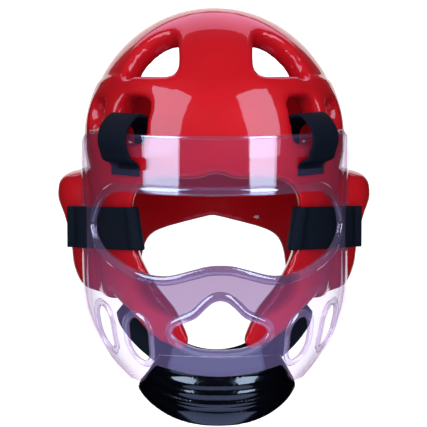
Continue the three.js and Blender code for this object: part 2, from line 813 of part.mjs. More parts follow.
// The band that hangs the shield on the brow: one end lies on the foam under the shield, the band
// comes out through the slot, arches over the shield's upper edge and goes in at the oblong hole,
// and its other end lies on the inside of the bar.
// The arch rows: out as a share of browStrapBulge, rise as a share of the climb from the slot to the
// height at which the band enters the hole.
const browArchRows = [
  { out: 0.88, rise: 0.08 },
  { out: 1, rise: 0.2 },
  { out: 1.2, rise: 0.42 },
  { out: 1.12, rise: 0.66 },
  { out: 0.67, rise: 0.88 },
  { out: 0.08, rise: 1 },
];
const hemRise = 1;
const innerEndRise = 8;

function browStrap(side) {
  const { place, bearing } = browStrapAt(side);
  const lie = 1.5 * clearance + half * webbing;
  const behind = -foamWall - lie - 0.13 * foamWall;
  const slotZ = browSlotZ;
  const climb = browSlotBelowHole + 0.66 * strapHoleHeight;
  const rows = [
    [lie, browEdgeZ + hemRise],
    [lie, slotZ - 1.85 * webbing],
    [lie + 0.25 * webbing, slotZ - 0.92 * webbing],
    [strapGap + half * shieldWall, slotZ],
    ...browArchRows.map((row) => [row.out * browStrapBulge, slotZ + row.rise * climb]),
    [-half * foamWall, slotZ + 0.91 * climb],
    [behind + 0.1 * foamWall, slotZ + 0.66 * climb],
    [behind, slotZ + 0.39 * climb],
    [behind, browEdgeZ + innerEndRise],
  ];
  const path = smoothed(rows.map(([out, z]) => [out, z, 0]), 38).map((p) => [p.x, p.y]);
  const geometry = extrudedBand(path, webbing, browStrapWidth);
  geometry.rotateX(90 * degree);
  geometry.rotateZ(-90 * degree);
  geometry.rotateZ(bearing * degree);
  geometry.translate(place.x, place.y, 0);
  return solidOf(geometry);
}

// The band that holds the side of the shield, seen from above: it starts on the flank of the ear
// guard, goes in through the shield's slot, runs forward along the cheek limb, turns round the
// limb's front edge and ends on its inner face. The slot rows: how far inside the shield's widest
// line and how far behind the slot's middle, as shares of the slot's length.
const flankShares = [-0.7, -0.76, -0.82];
const slotPassRows = [
  { inside: -0.136, behind: 1 },
  { inside: -0.05, behind: 0.64 },
  { inside: 0.186, behind: 0.264 },
  { inside: 0.5, behind: -0.08 },
  { inside: 0.814, behind: -0.42 },
];
const limbShares = [0.86, 0.8, 0.735, 0.67];
const innerFaceShares = [0.775, 0.815, 0.86];

function sideStrapPath() {
  const topZ = -sideStrapFrontDrop + half * sideStrapWidth;
  const footZ = -sideStrapBackDrop - half * sideStrapWidth;
  const lie = clearance + half * webbing;
  const loose = lie + 2 * clearance;
  const flank = earGuardRows.find((row) => -earGuardTopDrop - row.down * earGuardHeight <= topZ);
  const rows = flankShares.map((t) => {
    const here = earGuardPlan(flank, t);
    const next = earGuardPlan(flank, t + 0.02);
    const length = Math.hypot(next.x - here.x, next.y - here.y);
    return [here.x + (loose * (next.y - here.y)) / length, here.y - (loose * (next.x - here.x)) / length];
  });
  for (const row of slotPassRows) {
    rows.push([shieldHalfWidth - row.inside * sideSlotLength, sideSlotY + row.behind * sideSlotLength]);
  }
  for (const share of limbShares) {
    const spot = outerPlace(share * outerHalfWidth, topZ, -loose);
    rows.push([spot.place.x, spot.place.y]);
  }
  const outside = outerPlace(faceHalfWidth - sideStrapSlant, footZ, -lie - clearance).place.y;
  const inside = outerPlace(faceHalfWidth, footZ, foamWall).place.y;
  const turnX = faceHalfWidth - lie - 2.5 * clearance;
  rows.push([faceHalfWidth + 5 * clearance, outside + half * clearance]);
  rows.push([turnX + clearance, outside + 3.5 * clearance]);
  rows.push([turnX, outside + 2.5 * webbing]);
  rows.push([turnX, inside - 2.5 * webbing]);
  rows.push([turnX + 1.5 * clearance, inside + 1.25 * webbing]);
  for (const share of innerFaceShares) {
    const spot = outerPlace(share * headHalfWidth, footZ, foamWall + lie + clearance);
    rows.push([spot.place.x, spot.place.y]);
  }
  return smoothed(rows.map(([x, y]) => [x, y, 0]), 44);
}

const slantRun = 22;

function sideStrap(side) {
  const points = sideStrapPath();
  const frontY = Math.min(...points.map((p) => p.y));
  const stations = points.map((p, i) => {
    const before = points[Math.max(i - 1, 0)];
    const after = points[Math.min(i + 1, points.length - 1)];
    const along = after.clone().sub(before).normalize();
    const outward = new THREE.Vector3(-along.y, along.x, 0);
    const share = THREE.MathUtils.clamp((p.y - frontY) / -frontY, 0, 1);
    const height = THREE.MathUtils.lerp(-sideStrapFrontDrop, -sideStrapBackDrop, share);
    const slant = sideStrapSlant * THREE.MathUtils.clamp(1 - (p.x - faceHalfWidth) / slantRun, 0, 1);
    const corner = (o, u) => new THREE.Vector3(
      side * (p.x + o * half * webbing * outward.x - (u < 0 ? slant : 0)),
      p.y + o * half * webbing * outward.y,
      height + u * half * sideStrapWidth,
    );
    return [corner(-1, -1), corner(1, -1), corner(1, 1), corner(-1, 1)];
  });
  return loft(stations);
}

// The chin strap: a sling from one cheek limb's inner face, under the chin, to the other's. Each row
// is a place on the inside of the jaw: its bearing from straight ahead in degrees, how far down it
// hangs between the strap's ends and its lowest place, over the floor of the cup, and how far its
// lower edge stands out under the foam's hem, as a share of chinStrapSplay.
const chinStrapRows = [
  { bearing: 76, sag: 0, splay: 0.85 },
  { bearing: 66, sag: 0.193, splay: 1 },
  { bearing: 54, sag: 0.446, splay: 0.8 },
  { bearing: 42, sag: 0.663, splay: 0.5 },
  { bearing: 30, sag: 0.843, splay: 0.2 },
  { bearing: 15, sag: 0.964, splay: 0 },
  { bearing: 0, sag: 1, splay: 0 },
];

function chinStrap() {
  const otherSide = chinStrapRows.slice(0, -1).reverse();
  const rows = [...chinStrapRows, ...otherSide.map((row) => ({ ...row, bearing: -row.bearing }))];
  const cupFloorDrop = cupBottomDrop - cupFloorWall - cupWall;
  const lowestDrop = cupFloorDrop - chinStrapOverFloor - half * chinStrapWidth;
  const dropAt = (sag) => THREE.MathUtils.lerp(chinStrapEndDrop, lowestDrop, sag);
  const places = smoothed(rows.map((row) => [row.bearing, dropAt(row.sag), row.splay]), 36);
  const nearFace = foamWall + 2.5 * clearance;
  const perDegree = 0.93 * headHalfWidth * degree;
  const stations = places.map((p, i) => {
    const before = places[Math.max(i - 1, 0)];
    const after = places[Math.min(i + 1, places.length - 1)];
    const along = new THREE.Vector2((after.x - before.x) * perDegree, before.y - after.y).normalize();
    const corner = (depth, across) => {
      const reach = -across * half * chinStrapWidth;
      const turn = (p.x - (reach * along.y) / perDegree) * degree;
      const splay = across < 0 ? p.z * chinStrapSplay : 0;
      const form = formAt(-p.y, nearFace + depth * webbing - splay);
      const z = -p.y + reach * along.x;
      return new THREE.Vector3(form.width * Math.sin(turn), -form.front * Math.cos(turn), z);
    };
    return [corner(1, -1), corner(1, 0), corner(1, 1), corner(0, 1), corner(0, 0), corner(0, -1)];
  });
  return loft(stations);
}

// Assembly

const finishes = {
  foam: new THREE.MeshStandardMaterial({ color: 0xc4161d, roughness: 0.25, metalness: 0 }),
  clear: new THREE.MeshStandardMaterial({
    color: 0xdfdbe8, roughness: 0.05, metalness: 0, transparent: true, opacity: 0.35,
  }),
  cup: new THREE.MeshStandardMaterial({ color: 0x0a0c10, roughness: 0.2, metalness: 0 }),
  webbing: new THREE.MeshStandardMaterial({ color: 0x0d1118, roughness: 0.85, metalness: 0 }),
};

function piece(name, solid, material) {
  const mesh = new THREE.Mesh(geometryOf(solid), material);
  mesh.name = name;
  return mesh;
}

const headgear = new THREE.Group();
headgear.add(piece('foam_shell', foamShell(), finishes.foam));
headgear.add(piece('face_shield', faceShield(), finishes.clear));
headgear.add(piece('chin_cup', chinCup(), finishes.cup));
headgear.add(piece('chin_strap', chinStrap(), finishes.webbing));
for (const [name, side] of [['left', 1], ['right', -1]]) {
  headgear.add(piece(`brow_strap_${name}`, browStrap(side), finishes.webbing));
  headgear.add(piece(`side_strap_${name}`, sideStrap(side), finishes.webbing));
}

export default headgear;
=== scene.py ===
# %% [markdown]
# # A sparring head guard with a clear face shield
# The real thing is a foam shell dipped in red vinyl, a clear moulded shield strapped over its
# face, a black ribbed chin cup, and black webbing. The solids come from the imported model, and
# this lesson gives each of them its soft edges and its finish. Lengths of the object are written
# in millimetres, as a maker would say them, and turned into metres where a mesh is made. The
# camera, the lights and the material nodes work in metres.

# %% Load the frame
import math

import bmesh
import bpy
import numpy as np
from mathutils import Matrix, Vector


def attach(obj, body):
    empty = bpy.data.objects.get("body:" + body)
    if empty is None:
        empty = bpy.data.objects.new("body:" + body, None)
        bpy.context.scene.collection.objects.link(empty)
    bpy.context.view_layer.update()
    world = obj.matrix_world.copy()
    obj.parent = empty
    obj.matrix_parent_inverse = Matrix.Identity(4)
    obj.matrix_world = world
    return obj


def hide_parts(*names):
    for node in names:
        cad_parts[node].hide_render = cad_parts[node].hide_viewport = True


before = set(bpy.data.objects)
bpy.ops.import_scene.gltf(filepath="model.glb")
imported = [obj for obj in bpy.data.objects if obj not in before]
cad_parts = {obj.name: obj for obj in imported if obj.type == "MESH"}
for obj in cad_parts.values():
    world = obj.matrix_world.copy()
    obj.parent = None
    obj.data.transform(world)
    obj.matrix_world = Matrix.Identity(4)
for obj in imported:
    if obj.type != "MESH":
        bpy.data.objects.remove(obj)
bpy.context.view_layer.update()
MM = 0.001
print("solids:", sorted(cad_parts))

# %% [markdown]
# ## Camera
# The photograph looks at the guard from straight ahead and a little above. A long lens keeps the
# near chin and the far crown in proportion. Half the view's width is given for a distance of one.

# %% Camera
AIM = Vector((-0.7, -6, -136)) * MM
CAMERA_AZIMUTH, CAMERA_ELEVATION, CAMERA_DISTANCE = -0.8, 6, 1.5
HALF_VIEW, SENSOR_WIDTH = 0.1059, 36


def towards(azimuth, elevation):
    """A direction away from the guard, in degrees. Azimuth 0 is straight ahead of the face."""
    turn, lift = math.radians(azimuth), math.radians(elevation)
    return Vector((math.sin(turn) * math.cos(lift), -math.cos(turn) * math.cos(lift), math.sin(lift)))


back = towards(CAMERA_AZIMUTH, CAMERA_ELEVATION)
camera_data = bpy.data.cameras.new("camera")
camera_data.sensor_width = SENSOR_WIDTH
camera_data.lens = SENSOR_WIDTH / 2 / HALF_VIEW
camera = bpy.data.objects.new("camera", camera_data)
camera.location = AIM + CAMERA_DISTANCE * back
camera.rotation_euler = back.to_track_quat("Z", "Y").to_euler()
bpy.context.scene.collection.objects.link(camera)
bpy.context.scene.camera = camera
bpy.context.scene.view_settings.view_transform = "Standard"
print("lens", round(camera_data.lens), "mm")

# %% [markdown]
# ## Floor and wall
# The object floats on white in the photograph. A pale floor some way under the chin and a pale
# wall behind keep every opening bright. They throw no light and no shadow on the guard, and only
# the wall shows in its reflections.

# %% Helpers for objects
def place_mesh(name, mesh):
    thing = bpy.data.objects.new(name, mesh)
    bpy.context.scene.collection.objects.link(thing)
    return thing


def mesh_from(bm, name, smooth=True):
    mesh = bpy.data.meshes.new(name)
    bm.to_mesh(mesh)
    bm.free()
    for face in mesh.polygons:
        face.use_smooth = smooth
    return mesh


# %% Floor and wall
FLOOR_PLACE, WALL_PLACE = (0, 3, -0.42), (0, 3.2, 0)


def glowing_white(name, glow):
    material = bpy.data.materials.new(name)
    material.use_nodes = True
    shader = material.node_tree.nodes["Principled BSDF"]
    shader.inputs["Base Color"].default_value = (0.9, 0.9, 0.9, 1)
    shader.inputs["Roughness"].default_value = 0.9
    shader.inputs["Emission Color"].default_value = (1, 1, 1, 1)
    shader.inputs["Emission Strength"].default_value = glow
    return material


def backdrop(name, glow, half_size, tilt, place):
    """A large pale sheet. It glows a little, so that it reads as plain white."""
    bm = bmesh.new()
    bmesh.ops.create_grid(bm, x_segments=1, y_segments=1, size=half_size)
    bmesh.ops.rotate(bm, verts=bm.verts, matrix=Matrix.Rotation(math.radians(tilt), 3, "X"))
    bmesh.ops.translate(bm, verts=bm.verts, vec=place)
    sheet = place_mesh(name, mesh_from(bm, name, smooth=False))
    sheet.data.materials.append(glowing_white(f"pale_{name}", glow))
    sheet.visible_diffuse = False
    sheet.visible_shadow = False
    return sheet


floor = backdrop("floor", glow=0.75, half_size=6, tilt=0, place=FLOOR_PLACE)
floor.visible_glossy = False
backdrop("wall", glow=0.95, half_size=1.4, tilt=90, place=WALL_PLACE)

# %% [markdown]
# ## Light
# Two tall windows stand left and right ahead of the face: their reflections are the pale patches
# on the brow and on the shield. A low panel and one behind the crown draw the sheen along the cup
# and the dome's edge. These four show in reflections only. Three more light the surfaces and show
# in none, so that the highlights and the plain light can be set apart. The room is white to the
# camera, dimmer as a light, and absent from the reflections.

# %% Lights
ROOM_SEEN, ROOM_LIGHT = 1.1, 0.35
LIT_PLACE = Vector((0, 0, -0.12))
WHITE, WINDOW_BLUE, LOW_BLUE, ROSE = (1, 1, 1), (0.6, 0.75, 1), (0.45, 0.55, 1), (1, 0.55, 0.85)

world = bpy.data.worlds.new("room")
world.use_nodes = True
nodes, links = world.node_tree.nodes, world.node_tree.links
nodes["Background"].inputs["Color"].default_value = (*WHITE, 1)
seen = nodes.new("ShaderNodeLightPath")
strength = nodes.new("ShaderNodeMapRange")
strength.inputs["To Min"].default_value = ROOM_LIGHT
strength.inputs["To Max"].default_value = ROOM_SEEN
links.new(seen.outputs["Is Camera Ray"], strength.inputs["Value"])
links.new(strength.outputs["Result"], nodes["Background"].inputs["Strength"])
bpy.context.scene.world = world
world.cycles_visibility.glossy = False


def softbox(name, azimuth, elevation, distance, width, height, power, diffuse=True, glossy=True,
            colour=WHITE):
    """An area light that faces the middle of the guard."""
    out = towards(azimuth, elevation)
    data = bpy.data.lights.new(name, "AREA")
    data.shape = "RECTANGLE"
    data.size = width
    data.size_y = height
    data.energy = power
    data.color = colour
    lamp = bpy.data.objects.new(name, data)
    lamp.location = LIT_PLACE + distance * out
    lamp.rotation_euler = out.to_track_quat("Z", "Y").to_euler()
    lamp.visible_diffuse = diffuse
    lamp.visible_glossy = glossy
    lamp.visible_camera = False
    lamp.visible_transmission = False
    bpy.context.scene.collection.objects.link(lamp)


# name, azimuth, elevation, distance, width, height, power
softbox("window_left", -55, 22, 1.6, 1.1, 1.6, 43, diffuse=False, colour=WINDOW_BLUE)
softbox("window_right", 45, 22, 1.6, 0.8, 1.6, 34, diffuse=False, colour=WINDOW_BLUE)
softbox("low_panel", 0, -66, 1.3, 2.2, 1.5, 12, diffuse=False, colour=LOW_BLUE)
softbox("crown_panel", 180, 46, 1.8, 1.9, 1.0, 13, diffuse=False, colour=ROSE)
softbox("top_panel", -10, 70, 1.8, 1.2, 1.2, 10, glossy=False)
softbox("front_fill", 0, 20, 2.2, 2.0, 1.6, 33, glossy=False)
softbox("low_fill", 0, -25, 1.8, 1.4, 1.0, 9, glossy=False)

# %% [markdown]
# ## The head form
# The foam is one even wall round a head form. The form is an ellipsoid above its widest level and
# a stack of ovals below it. The same few numbers place everything else, so they come first.

# %% The form
HEAD_HALF_WIDTH, HEAD_HALF_LENGTH, CROWN_RISE = 79, 97, 83
FOAM_WALL, BODY_DROP, CLEARANCE = 16.5, 150, 0.4
OUTER_HALF_WIDTH = HEAD_HALF_WIDTH + FOAM_WALL
OUTER_HALF_LENGTH = HEAD_HALF_LENGTH + FOAM_WALL
WIDEST_Z = -CROWN_RISE
# drop below the widest level as a share of the body, then width, front and back as shares
BODY_ROWS = np.array([
    (0, 1, 1, 1), (0.14, 0.975, 0.995, 0.995), (0.3, 0.952, 0.986, 0.978), (0.46, 0.945, 0.972, 0.945),
    (0.6, 0.93, 0.96, 0.91), (0.76, 0.89, 0.95, 0.88), (0.9, 0.84, 0.945, 0.86), (1, 0.79, 0.94, 0.85),
])


def eased(rows, at):
    """The columns of a table between its rows, on a smooth curve that never overshoots a row."""
    xs, ys = rows[:, 0], rows[:, 1:]
    at = np.clip(np.asarray(at, float), xs[0], xs[-1])
    steps = np.diff(ys, axis=0) / np.diff(xs)[:, None]
    slopes = np.zeros_like(ys)
    slopes[1:-1] = np.where(steps[1:] * steps[:-1] > 0,
                            2 * steps[1:] * steps[:-1] / (steps[1:] + steps[:-1] + 1e-12), 0)
    slopes[-1] = steps[-1]
    k = np.clip(np.searchsorted(xs, at, side="right") - 1, 0, len(xs) - 2)
    gap = (xs[k + 1] - xs[k])[:, None]
    t = ((at - xs[k])[:, None]) / gap
    return ((2 * t**3 - 3 * t**2 + 1) * ys[k] + (t**3 - 2 * t**2 + t) * gap * slopes[k]
            + (3 * t**2 - 2 * t**3) * ys[k + 1] + (t**3 - t**2) * gap * slopes[k + 1])


def form_depth(points, inset):
    """How far each point (mm) stands outside the form, and the point's place on the form."""
    x, y, z = points.T
    row = eased(BODY_ROWS, (WIDEST_Z - z) / BODY_DROP)
    half_width = row[:, 0] * OUTER_HALF_WIDTH - inset
    reach = np.where(y < 0, row[:, 1], row[:, 2]) * OUTER_HALF_LENGTH - inset
    rise = np.maximum(z - WIDEST_Z, 0) / (CROWN_RISE + FOAM_WALL - inset)
    share = np.sqrt((x / half_width) ** 2 + (y / reach) ** 2 + rise**2)
    share = np.maximum(share, 0.2)
    on_form = points.copy()
    on_form[:, 0] /= share
    on_form[:, 1] /= share
    above = z > WIDEST_Z
    on_form[above, 2] = WIDEST_Z + (z[above] - WIDEST_Z) / share[above]
    away = np.sign(share - 1) * np.linalg.norm(points - on_form, axis=1)
    return away, on_form


# %% [markdown]
# ## Foam shell
# A dipped foam guard has no sharp edge: the vinyl skin runs over rounded foam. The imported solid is
# the right shape with hard edges, so a copy is merged, rebuilt as an even skin of small faces,
# laid back on the smooth head form where it had facets, and then relaxed so its edges turn over
# softly. The ear pads have no form behind them and are relaxed for longer.

# %% Rebuild the skin evenly
FOAM_VOXEL, PAD_ROUNDS, SKIN_ROUNDS = 2.4, 30, 15


def merged_copy(node, name):
    bm = bmesh.new()
    bm.from_mesh(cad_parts[node].data)
    bmesh.ops.remove_doubles(bm, verts=bm.verts, dist=2e-6)
    return place_mesh(name, mesh_from(bm, name))


def finished_mesh(thing):
    """The mesh with the object's modifiers in it, which are then removed."""
    mesh = bpy.data.meshes.new_from_object(thing.evaluated_get(bpy.context.evaluated_depsgraph_get()))
    thing.modifiers.clear()
    return mesh


def remeshed(thing, voxel):
    step = thing.modifiers.new("even", "REMESH")
    step.mode = "VOXEL"
    step.voxel_size = voxel * MM
    step.use_smooth_shade = True
    thing.data = finished_mesh(thing)
    return thing


def points_of(mesh):
    flat = np.empty(len(mesh.vertices) * 3)
    mesh.vertices.foreach_get("co", flat)
    return flat.reshape(-1, 3) / MM


def set_points(mesh, points):
    mesh.vertices.foreach_set("co", (points * MM).ravel())
    mesh.update()


def relaxed(thing, rounds, chosen=None):
    bm = bmesh.new()
    bm.from_mesh(thing.data)
    bm.verts.ensure_lookup_table()
    verts = bm.verts if chosen is None else [bm.verts[i] for i in np.flatnonzero(chosen)]
    for _ in range(rounds):
        bmesh.ops.smooth_vert(bm, verts=verts, factor=0.5, use_axis_x=True, use_axis_y=True, use_axis_z=True)
    bm.to_mesh(thing.data)
    bm.free()
    thing.data.update()


foam = remeshed(merged_copy("foam_shell", "foam_guard"), FOAM_VOXEL)
skin = points_of(foam.data)
# a face's inset, and the depths round it that are laid back on it
for inset, low, high in ((0, -2.2, 0.7), (FOAM_WALL, -0.5, 2.2)):
    away, on_form = form_depth(skin, inset)
    near = (away > low) & (away < high)
    skin[near] = on_form[near]
set_points(foam.data, skin)
away, _ = form_depth(points_of(foam.data), 0)
relaxed(foam, PAD_ROUNDS, away > 1.5)
relaxed(foam, SKIN_ROUNDS)
print("foam faces", len(foam.data.polygons))

# %% [markdown]
# ## The thicker band
# The band round the brow is a little thicker than the dome above it. The step starts at the outer
# corners of the front vents and runs round the sides. It is a low relief, so the skin's points are
# simply pushed outwards below the line. It fades out above the jaw and towards the middle of the
# brow.

# %% The step over the band
STEP_RISE, STEP_RUN = 1.5, 3.2
STEP_FRONT_Z, STEP_FALL, STEP_FRONT_BEARING, STEP_TURN = -31, 21, 50, 90
FOOT_Z, FOOT_RUN, MIDDLE_X, MIDDLE_RUN = -118, 30, 20, 26

skin = points_of(foam.data)
away, on_form = form_depth(skin, 0)
bearing = np.degrees(np.arctan2(np.abs(skin[:, 0]), -skin[:, 1]))
line_z = STEP_FRONT_Z - STEP_FALL * np.clip((bearing - STEP_FRONT_BEARING) / STEP_TURN, 0, 1) ** 1.2
below = np.clip((line_z - skin[:, 2]) / STEP_RUN + 0.5, 0, 1)
foot_fade = np.clip((skin[:, 2] - FOOT_Z) / FOOT_RUN, 0, 1)
middle_fade = np.clip((np.abs(skin[:, 0]) - MIDDLE_X) / MIDDLE_RUN, 0.35, 1)
lift = STEP_RISE * (3 * below**2 - 2 * below**3) * (foot_fade * middle_fade) * np.clip(1 + away / 3, 0, 1)
outwards = (on_form * (1 / OUTER_HALF_WIDTH, 1 / OUTER_HALF_LENGTH, 0)
            / (OUTER_HALF_WIDTH, OUTER_HALF_LENGTH, 1))
outwards /= np.linalg.norm(outwards, axis=1)[:, None] + 1e-9
skin += outwards * lift[:, None]
set_points(foam.data, skin)
print("step lifts the skin by up to", round(float(lift.max()), 2), "mm")

# %% [markdown]
# ## Red dipped vinyl
# The skin is smooth and shiny with a faint orange peel, where the foam's cells show through the
# dip. A clear coat over a softer base gives the sharp highlights on a deep colour that vinyl has.

# %% Vinyl
def new_material(name):
    material = bpy.data.materials.new(name)
    material.use_nodes = True
    nodes = material.node_tree.nodes
    return material, nodes, material.node_tree.links, nodes["Principled BSDF"]


def object_place(nodes):
    return nodes.new("ShaderNodeTexCoord").outputs["Object"]


def noise(nodes, links, vector, scale, detail=2.0):
    texture = nodes.new("ShaderNodeTexNoise")
    texture.inputs["Scale"].default_value = scale
    texture.inputs["Detail"].default_value = detail
    links.new(vector, texture.inputs["Vector"])
    return texture.outputs["Fac"]


def ramp(nodes, links, value, low, high):
    turn = nodes.new("ShaderNodeValToRGB")
    turn.color_ramp.elements[0].color = (*low, 1)
    turn.color_ramp.elements[1].color = (*high, 1)
    turn.color_ramp.elements[0].position = 0.3
    turn.color_ramp.elements[1].position = 0.7
    links.new(value, turn.inputs["Fac"])
    return turn.outputs["Color"]


def bump(nodes, links, height, strength, distance):
    relief = nodes.new("ShaderNodeBump")
    relief.inputs["Strength"].default_value = strength
    relief.inputs["Distance"].default_value = distance * MM
    links.new(height, relief.inputs["Height"])
    return relief.outputs["Normal"]


vinyl, nodes, links, shader = new_material("red_vinyl")
place = object_place(nodes)
clouds = noise(nodes, links, place, 22)
peel = noise(nodes, links, place, 340, 3)
links.new(ramp(nodes, links, clouds, (0.46, 0.004, 0.010), (0.54, 0.006, 0.014)), shader.inputs["Base Color"])
shader.inputs["Roughness"].default_value = 0.42
shader.inputs["Specular IOR Level"].default_value = 0.05
shader.inputs["Coat Weight"].default_value = 0.62
shader.inputs["Coat Roughness"].default_value = 0.05
links.new(bump(nodes, links, peel, 0.12, 0.5), shader.inputs["Normal"])
foam.data.materials.clear()
foam.data.materials.append(vinyl)
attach(foam, "root")
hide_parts("foam_shell")
print("red vinyl on", foam.name)

# %% [markdown]
# ## Shield plate
# The shield is moulded plastic with an even wall. It is easiest to cut it flat, like sheet on a
# bench: a slab of even small faces, with every opening cut through it, and then bent onto the
# shield's form. Bending after cutting keeps the two faces perfectly smooth, which clear plastic
# needs, because every ripple would show in its reflections.

# %% The shield's form
SHIELD_WALL, SHIELD_HALF_WIDTH, SHIELD_REACH, SHIELD_SETBACK = 3.0, 99.8, 126.0, 22
SHIELD_TOP_DROP, SHIELD_SIDE_DROP, SHIELD_FRONT_DROP = 71, 250, 239
SHIELD_TURN = math.radians(1.1)
UNROLL = 112.0
# down from the top to the sides' foot, then width, front and setback, all as shares
SHIELD_ROWS = np.array([
    (0, 1, 0.983, 2.3), (0.03, 1.002, 0.985, 1.5), (0.085, 1.003, 0.989, 1.08), (0.19, 1.003, 0.994, 1),
    (0.36, 1, 0.995, 1), (0.54, 0.997, 1.003, 1), (0.637, 0.993, 1.003, 1.02), (0.721, 0.978, 0.997, 1.12),
    (0.7975, 0.942, 0.978, 1.37), (0.867, 0.89, 0.949, 1.67), (0.937, 0.818, 0.907, 2.1),
    (1, 0.735, 0.86, 2.6),
])


def shield_section(z):
    """The half width, the reach forwards and the side edges' setback at some heights."""
    down = (-np.asarray(z, float) - SHIELD_TOP_DROP) / (SHIELD_SIDE_DROP - SHIELD_TOP_DROP)
    width, front, setback = eased(SHIELD_ROWS, np.atleast_1d(down)).T
    return width * SHIELD_HALF_WIDTH, front * SHIELD_REACH, setback * SHIELD_SETBACK


def bent(flat):
    """Points on the flat bench (along, depth inside the outer face, height) to the shield's form."""
    along, depth, z = flat.T
    width, reach, _ = shield_section(z)
    turn = along / UNROLL
    x, y = (width - depth) * np.sin(turn), -(reach - depth) * np.cos(turn)
    cos, sin = math.cos(SHIELD_TURN), math.sin(SHIELD_TURN)
    return np.column_stack([x * cos - y * sin, x * sin + y * cos, z])


def unrolled(outline):
    """A front-view outline (x, z) as it lies on the flat bench."""
    outline = np.asarray(outline, float)
    width, _, _ = shield_section(outline[:, 1])
    return np.column_stack([UNROLL * np.arcsin(np.clip(outline[:, 0] / width, -1, 1)), outline[:, 1]])


# %% [markdown]
# ### The openings
# The shield has one wide eye opening, a nose and mouth opening shaped like a flattened bell, and
# two leaning oval air vents on each side. Four more slots let the straps through. The two large
# ones are smooth curves through a few chosen points of their right half, which is then mirrored.

# %% The openings
EYE_HALF_WIDTH, EYE_HEIGHT, EYE_DROP = 89, 56.5, 111.5
MOUTH_HALF_WIDTH, MOUTH_HEIGHT, MOUTH_DROP = 33.5, 35, 184
VENT_WIDTH, VENT_HEIGHT = 22, 32
BROW_STRAP_X, BROW_SLOT_SHIFT, BROW_SLOT_Z, BROW_SLOT_WIDTH, BROW_SLOT_HEIGHT = 64, 1.6, -91, 32, 8.8
SIDE_SLOT_X, SIDE_SLOT_Z, SIDE_SLOT_WIDTH, SIDE_SLOT_HEIGHT = 96, -143, 15, 35.5
# out and down as shares
EYE = [(0, 0), (0.5, 0), (0.78, 0), (0.875, 0.06), (0.95, 0.2), (1, 0.44), (0.98, 0.62), (0.91, 0.77),
       (0.8, 0.87), (0.68, 0.95), (0.54, 1), (0.4, 0.995), (0.23, 0.92), (0.1, 0.865), (0, 0.855)]
MOUTH = [(0, 0), (0.14, 0.03), (0.3, 0.15), (0.5, 0.34), (0.72, 0.45), (0.92, 0.54), (1, 0.64),
         (0.97, 0.73), (0.82, 0.85), (0.5, 0.97), (0.2, 1), (0, 1)]
# out, drop and lean
VENTS = [(57, 215, 11), (81, 211, 13)]


def evenly(points, count, closed=False):
    """The same line as evenly spaced places."""
    loop = np.vstack([points, points[:1]]) if closed else points
    length = np.concatenate([[0], np.cumsum(np.linalg.norm(np.diff(loop, axis=0), axis=1))])
    at = np.linspace(0, length[-1], count, endpoint=not closed)
    return np.column_stack([np.interp(at, length, loop[:, k]) for k in range(loop.shape[1])])


def between(p0, p1, p2, p3, t):
    """The smooth curve from p1 to p2 that heads for p3 and comes from p0."""
    return 0.5 * (2 * p1 + (p2 - p0) * t + (2 * p0 - 5 * p1 + 4 * p2 - p3) * t**2
                  + (3 * p1 - p0 - 3 * p2 + p3) * t**3)


def rounded(points, count):
    """A closed smooth curve through the points."""
    points = np.asarray(points, float)
    t = np.linspace(0, 1, 24, endpoint=False)[None, :, None]
    corners = [np.roll(points, turn, 0)[:, None, :] for turn in (1, 0, -1, -2)]
    return evenly(between(*corners, t).reshape(-1, points.shape[1]), count, closed=True)


def opening(rows, half_width, height, top_drop, count):
    right = [(x * half_width, -top_drop - down * height) for x, down in rows]
    left = [(-x, z) for x, z in right[::-1] if x > 0]
    return unrolled(rounded(right + left, count))


def oblong(middle, width, height, lean, count, corner=None):
    """An oblong on the bench, its corners rounded, leaning by some degrees."""
    corner = min(width, height) / 2 if corner is None else corner
    turn = (np.arange(count) + 0.5) / count * 2 * math.pi
    x = np.sign(np.cos(turn)) * (width / 2 - corner) + corner * np.cos(turn)
    z = np.sign(np.sin(turn)) * (height / 2 - corner) + corner * np.sin(turn)
    cos, sin = math.cos(math.radians(lean)), math.sin(math.radians(lean))
    spot = unrolled([middle])[0]
    outline = np.column_stack([x * cos - z * sin + spot[0], x * sin + z * cos + spot[1]])
    return evenly(outline, count, closed=True)


eye = opening(EYE, EYE_HALF_WIDTH, EYE_HEIGHT, EYE_DROP, count=150)
mouth = opening(MOUTH, MOUTH_HALF_WIDTH, MOUTH_HEIGHT, MOUTH_DROP, count=90)
vents = [oblong((side * x, -drop), VENT_WIDTH, VENT_HEIGHT, side * lean, count=48)
         for side in (-1, 1) for x, drop, lean in VENTS]
slots = [oblong((side * BROW_STRAP_X + BROW_SLOT_SHIFT, BROW_SLOT_Z), BROW_SLOT_WIDTH, BROW_SLOT_HEIGHT,
                lean=0, count=32, corner=1.5) for side in (-1, 1)]
slots += [oblong((side * SIDE_SLOT_X, SIDE_SLOT_Z), SIDE_SLOT_WIDTH, SIDE_SLOT_HEIGHT,
                 lean=0, count=32, corner=3) for side in (-1, 1)]
print("openings", 2 + len(vents), "and slots", len(slots))


# %% [markdown]
# ### The plate
# The plate's own outline runs down the two side edges and along the foot, where it steps up a
# little on each side of the chin. The slab is cut to it first, and then the openings are cut out.

# %% The plate's own outline
CORNER_RISE, NOTCH_HALF_WIDTH = 6, 46
# out from the middle and up from the front edge, as shares
FOOT_ROWS = [(1.02, 0.6), (0.95, 1), (0.86, 0.85), (0.5, 0.3), (0.25, 0.1)]


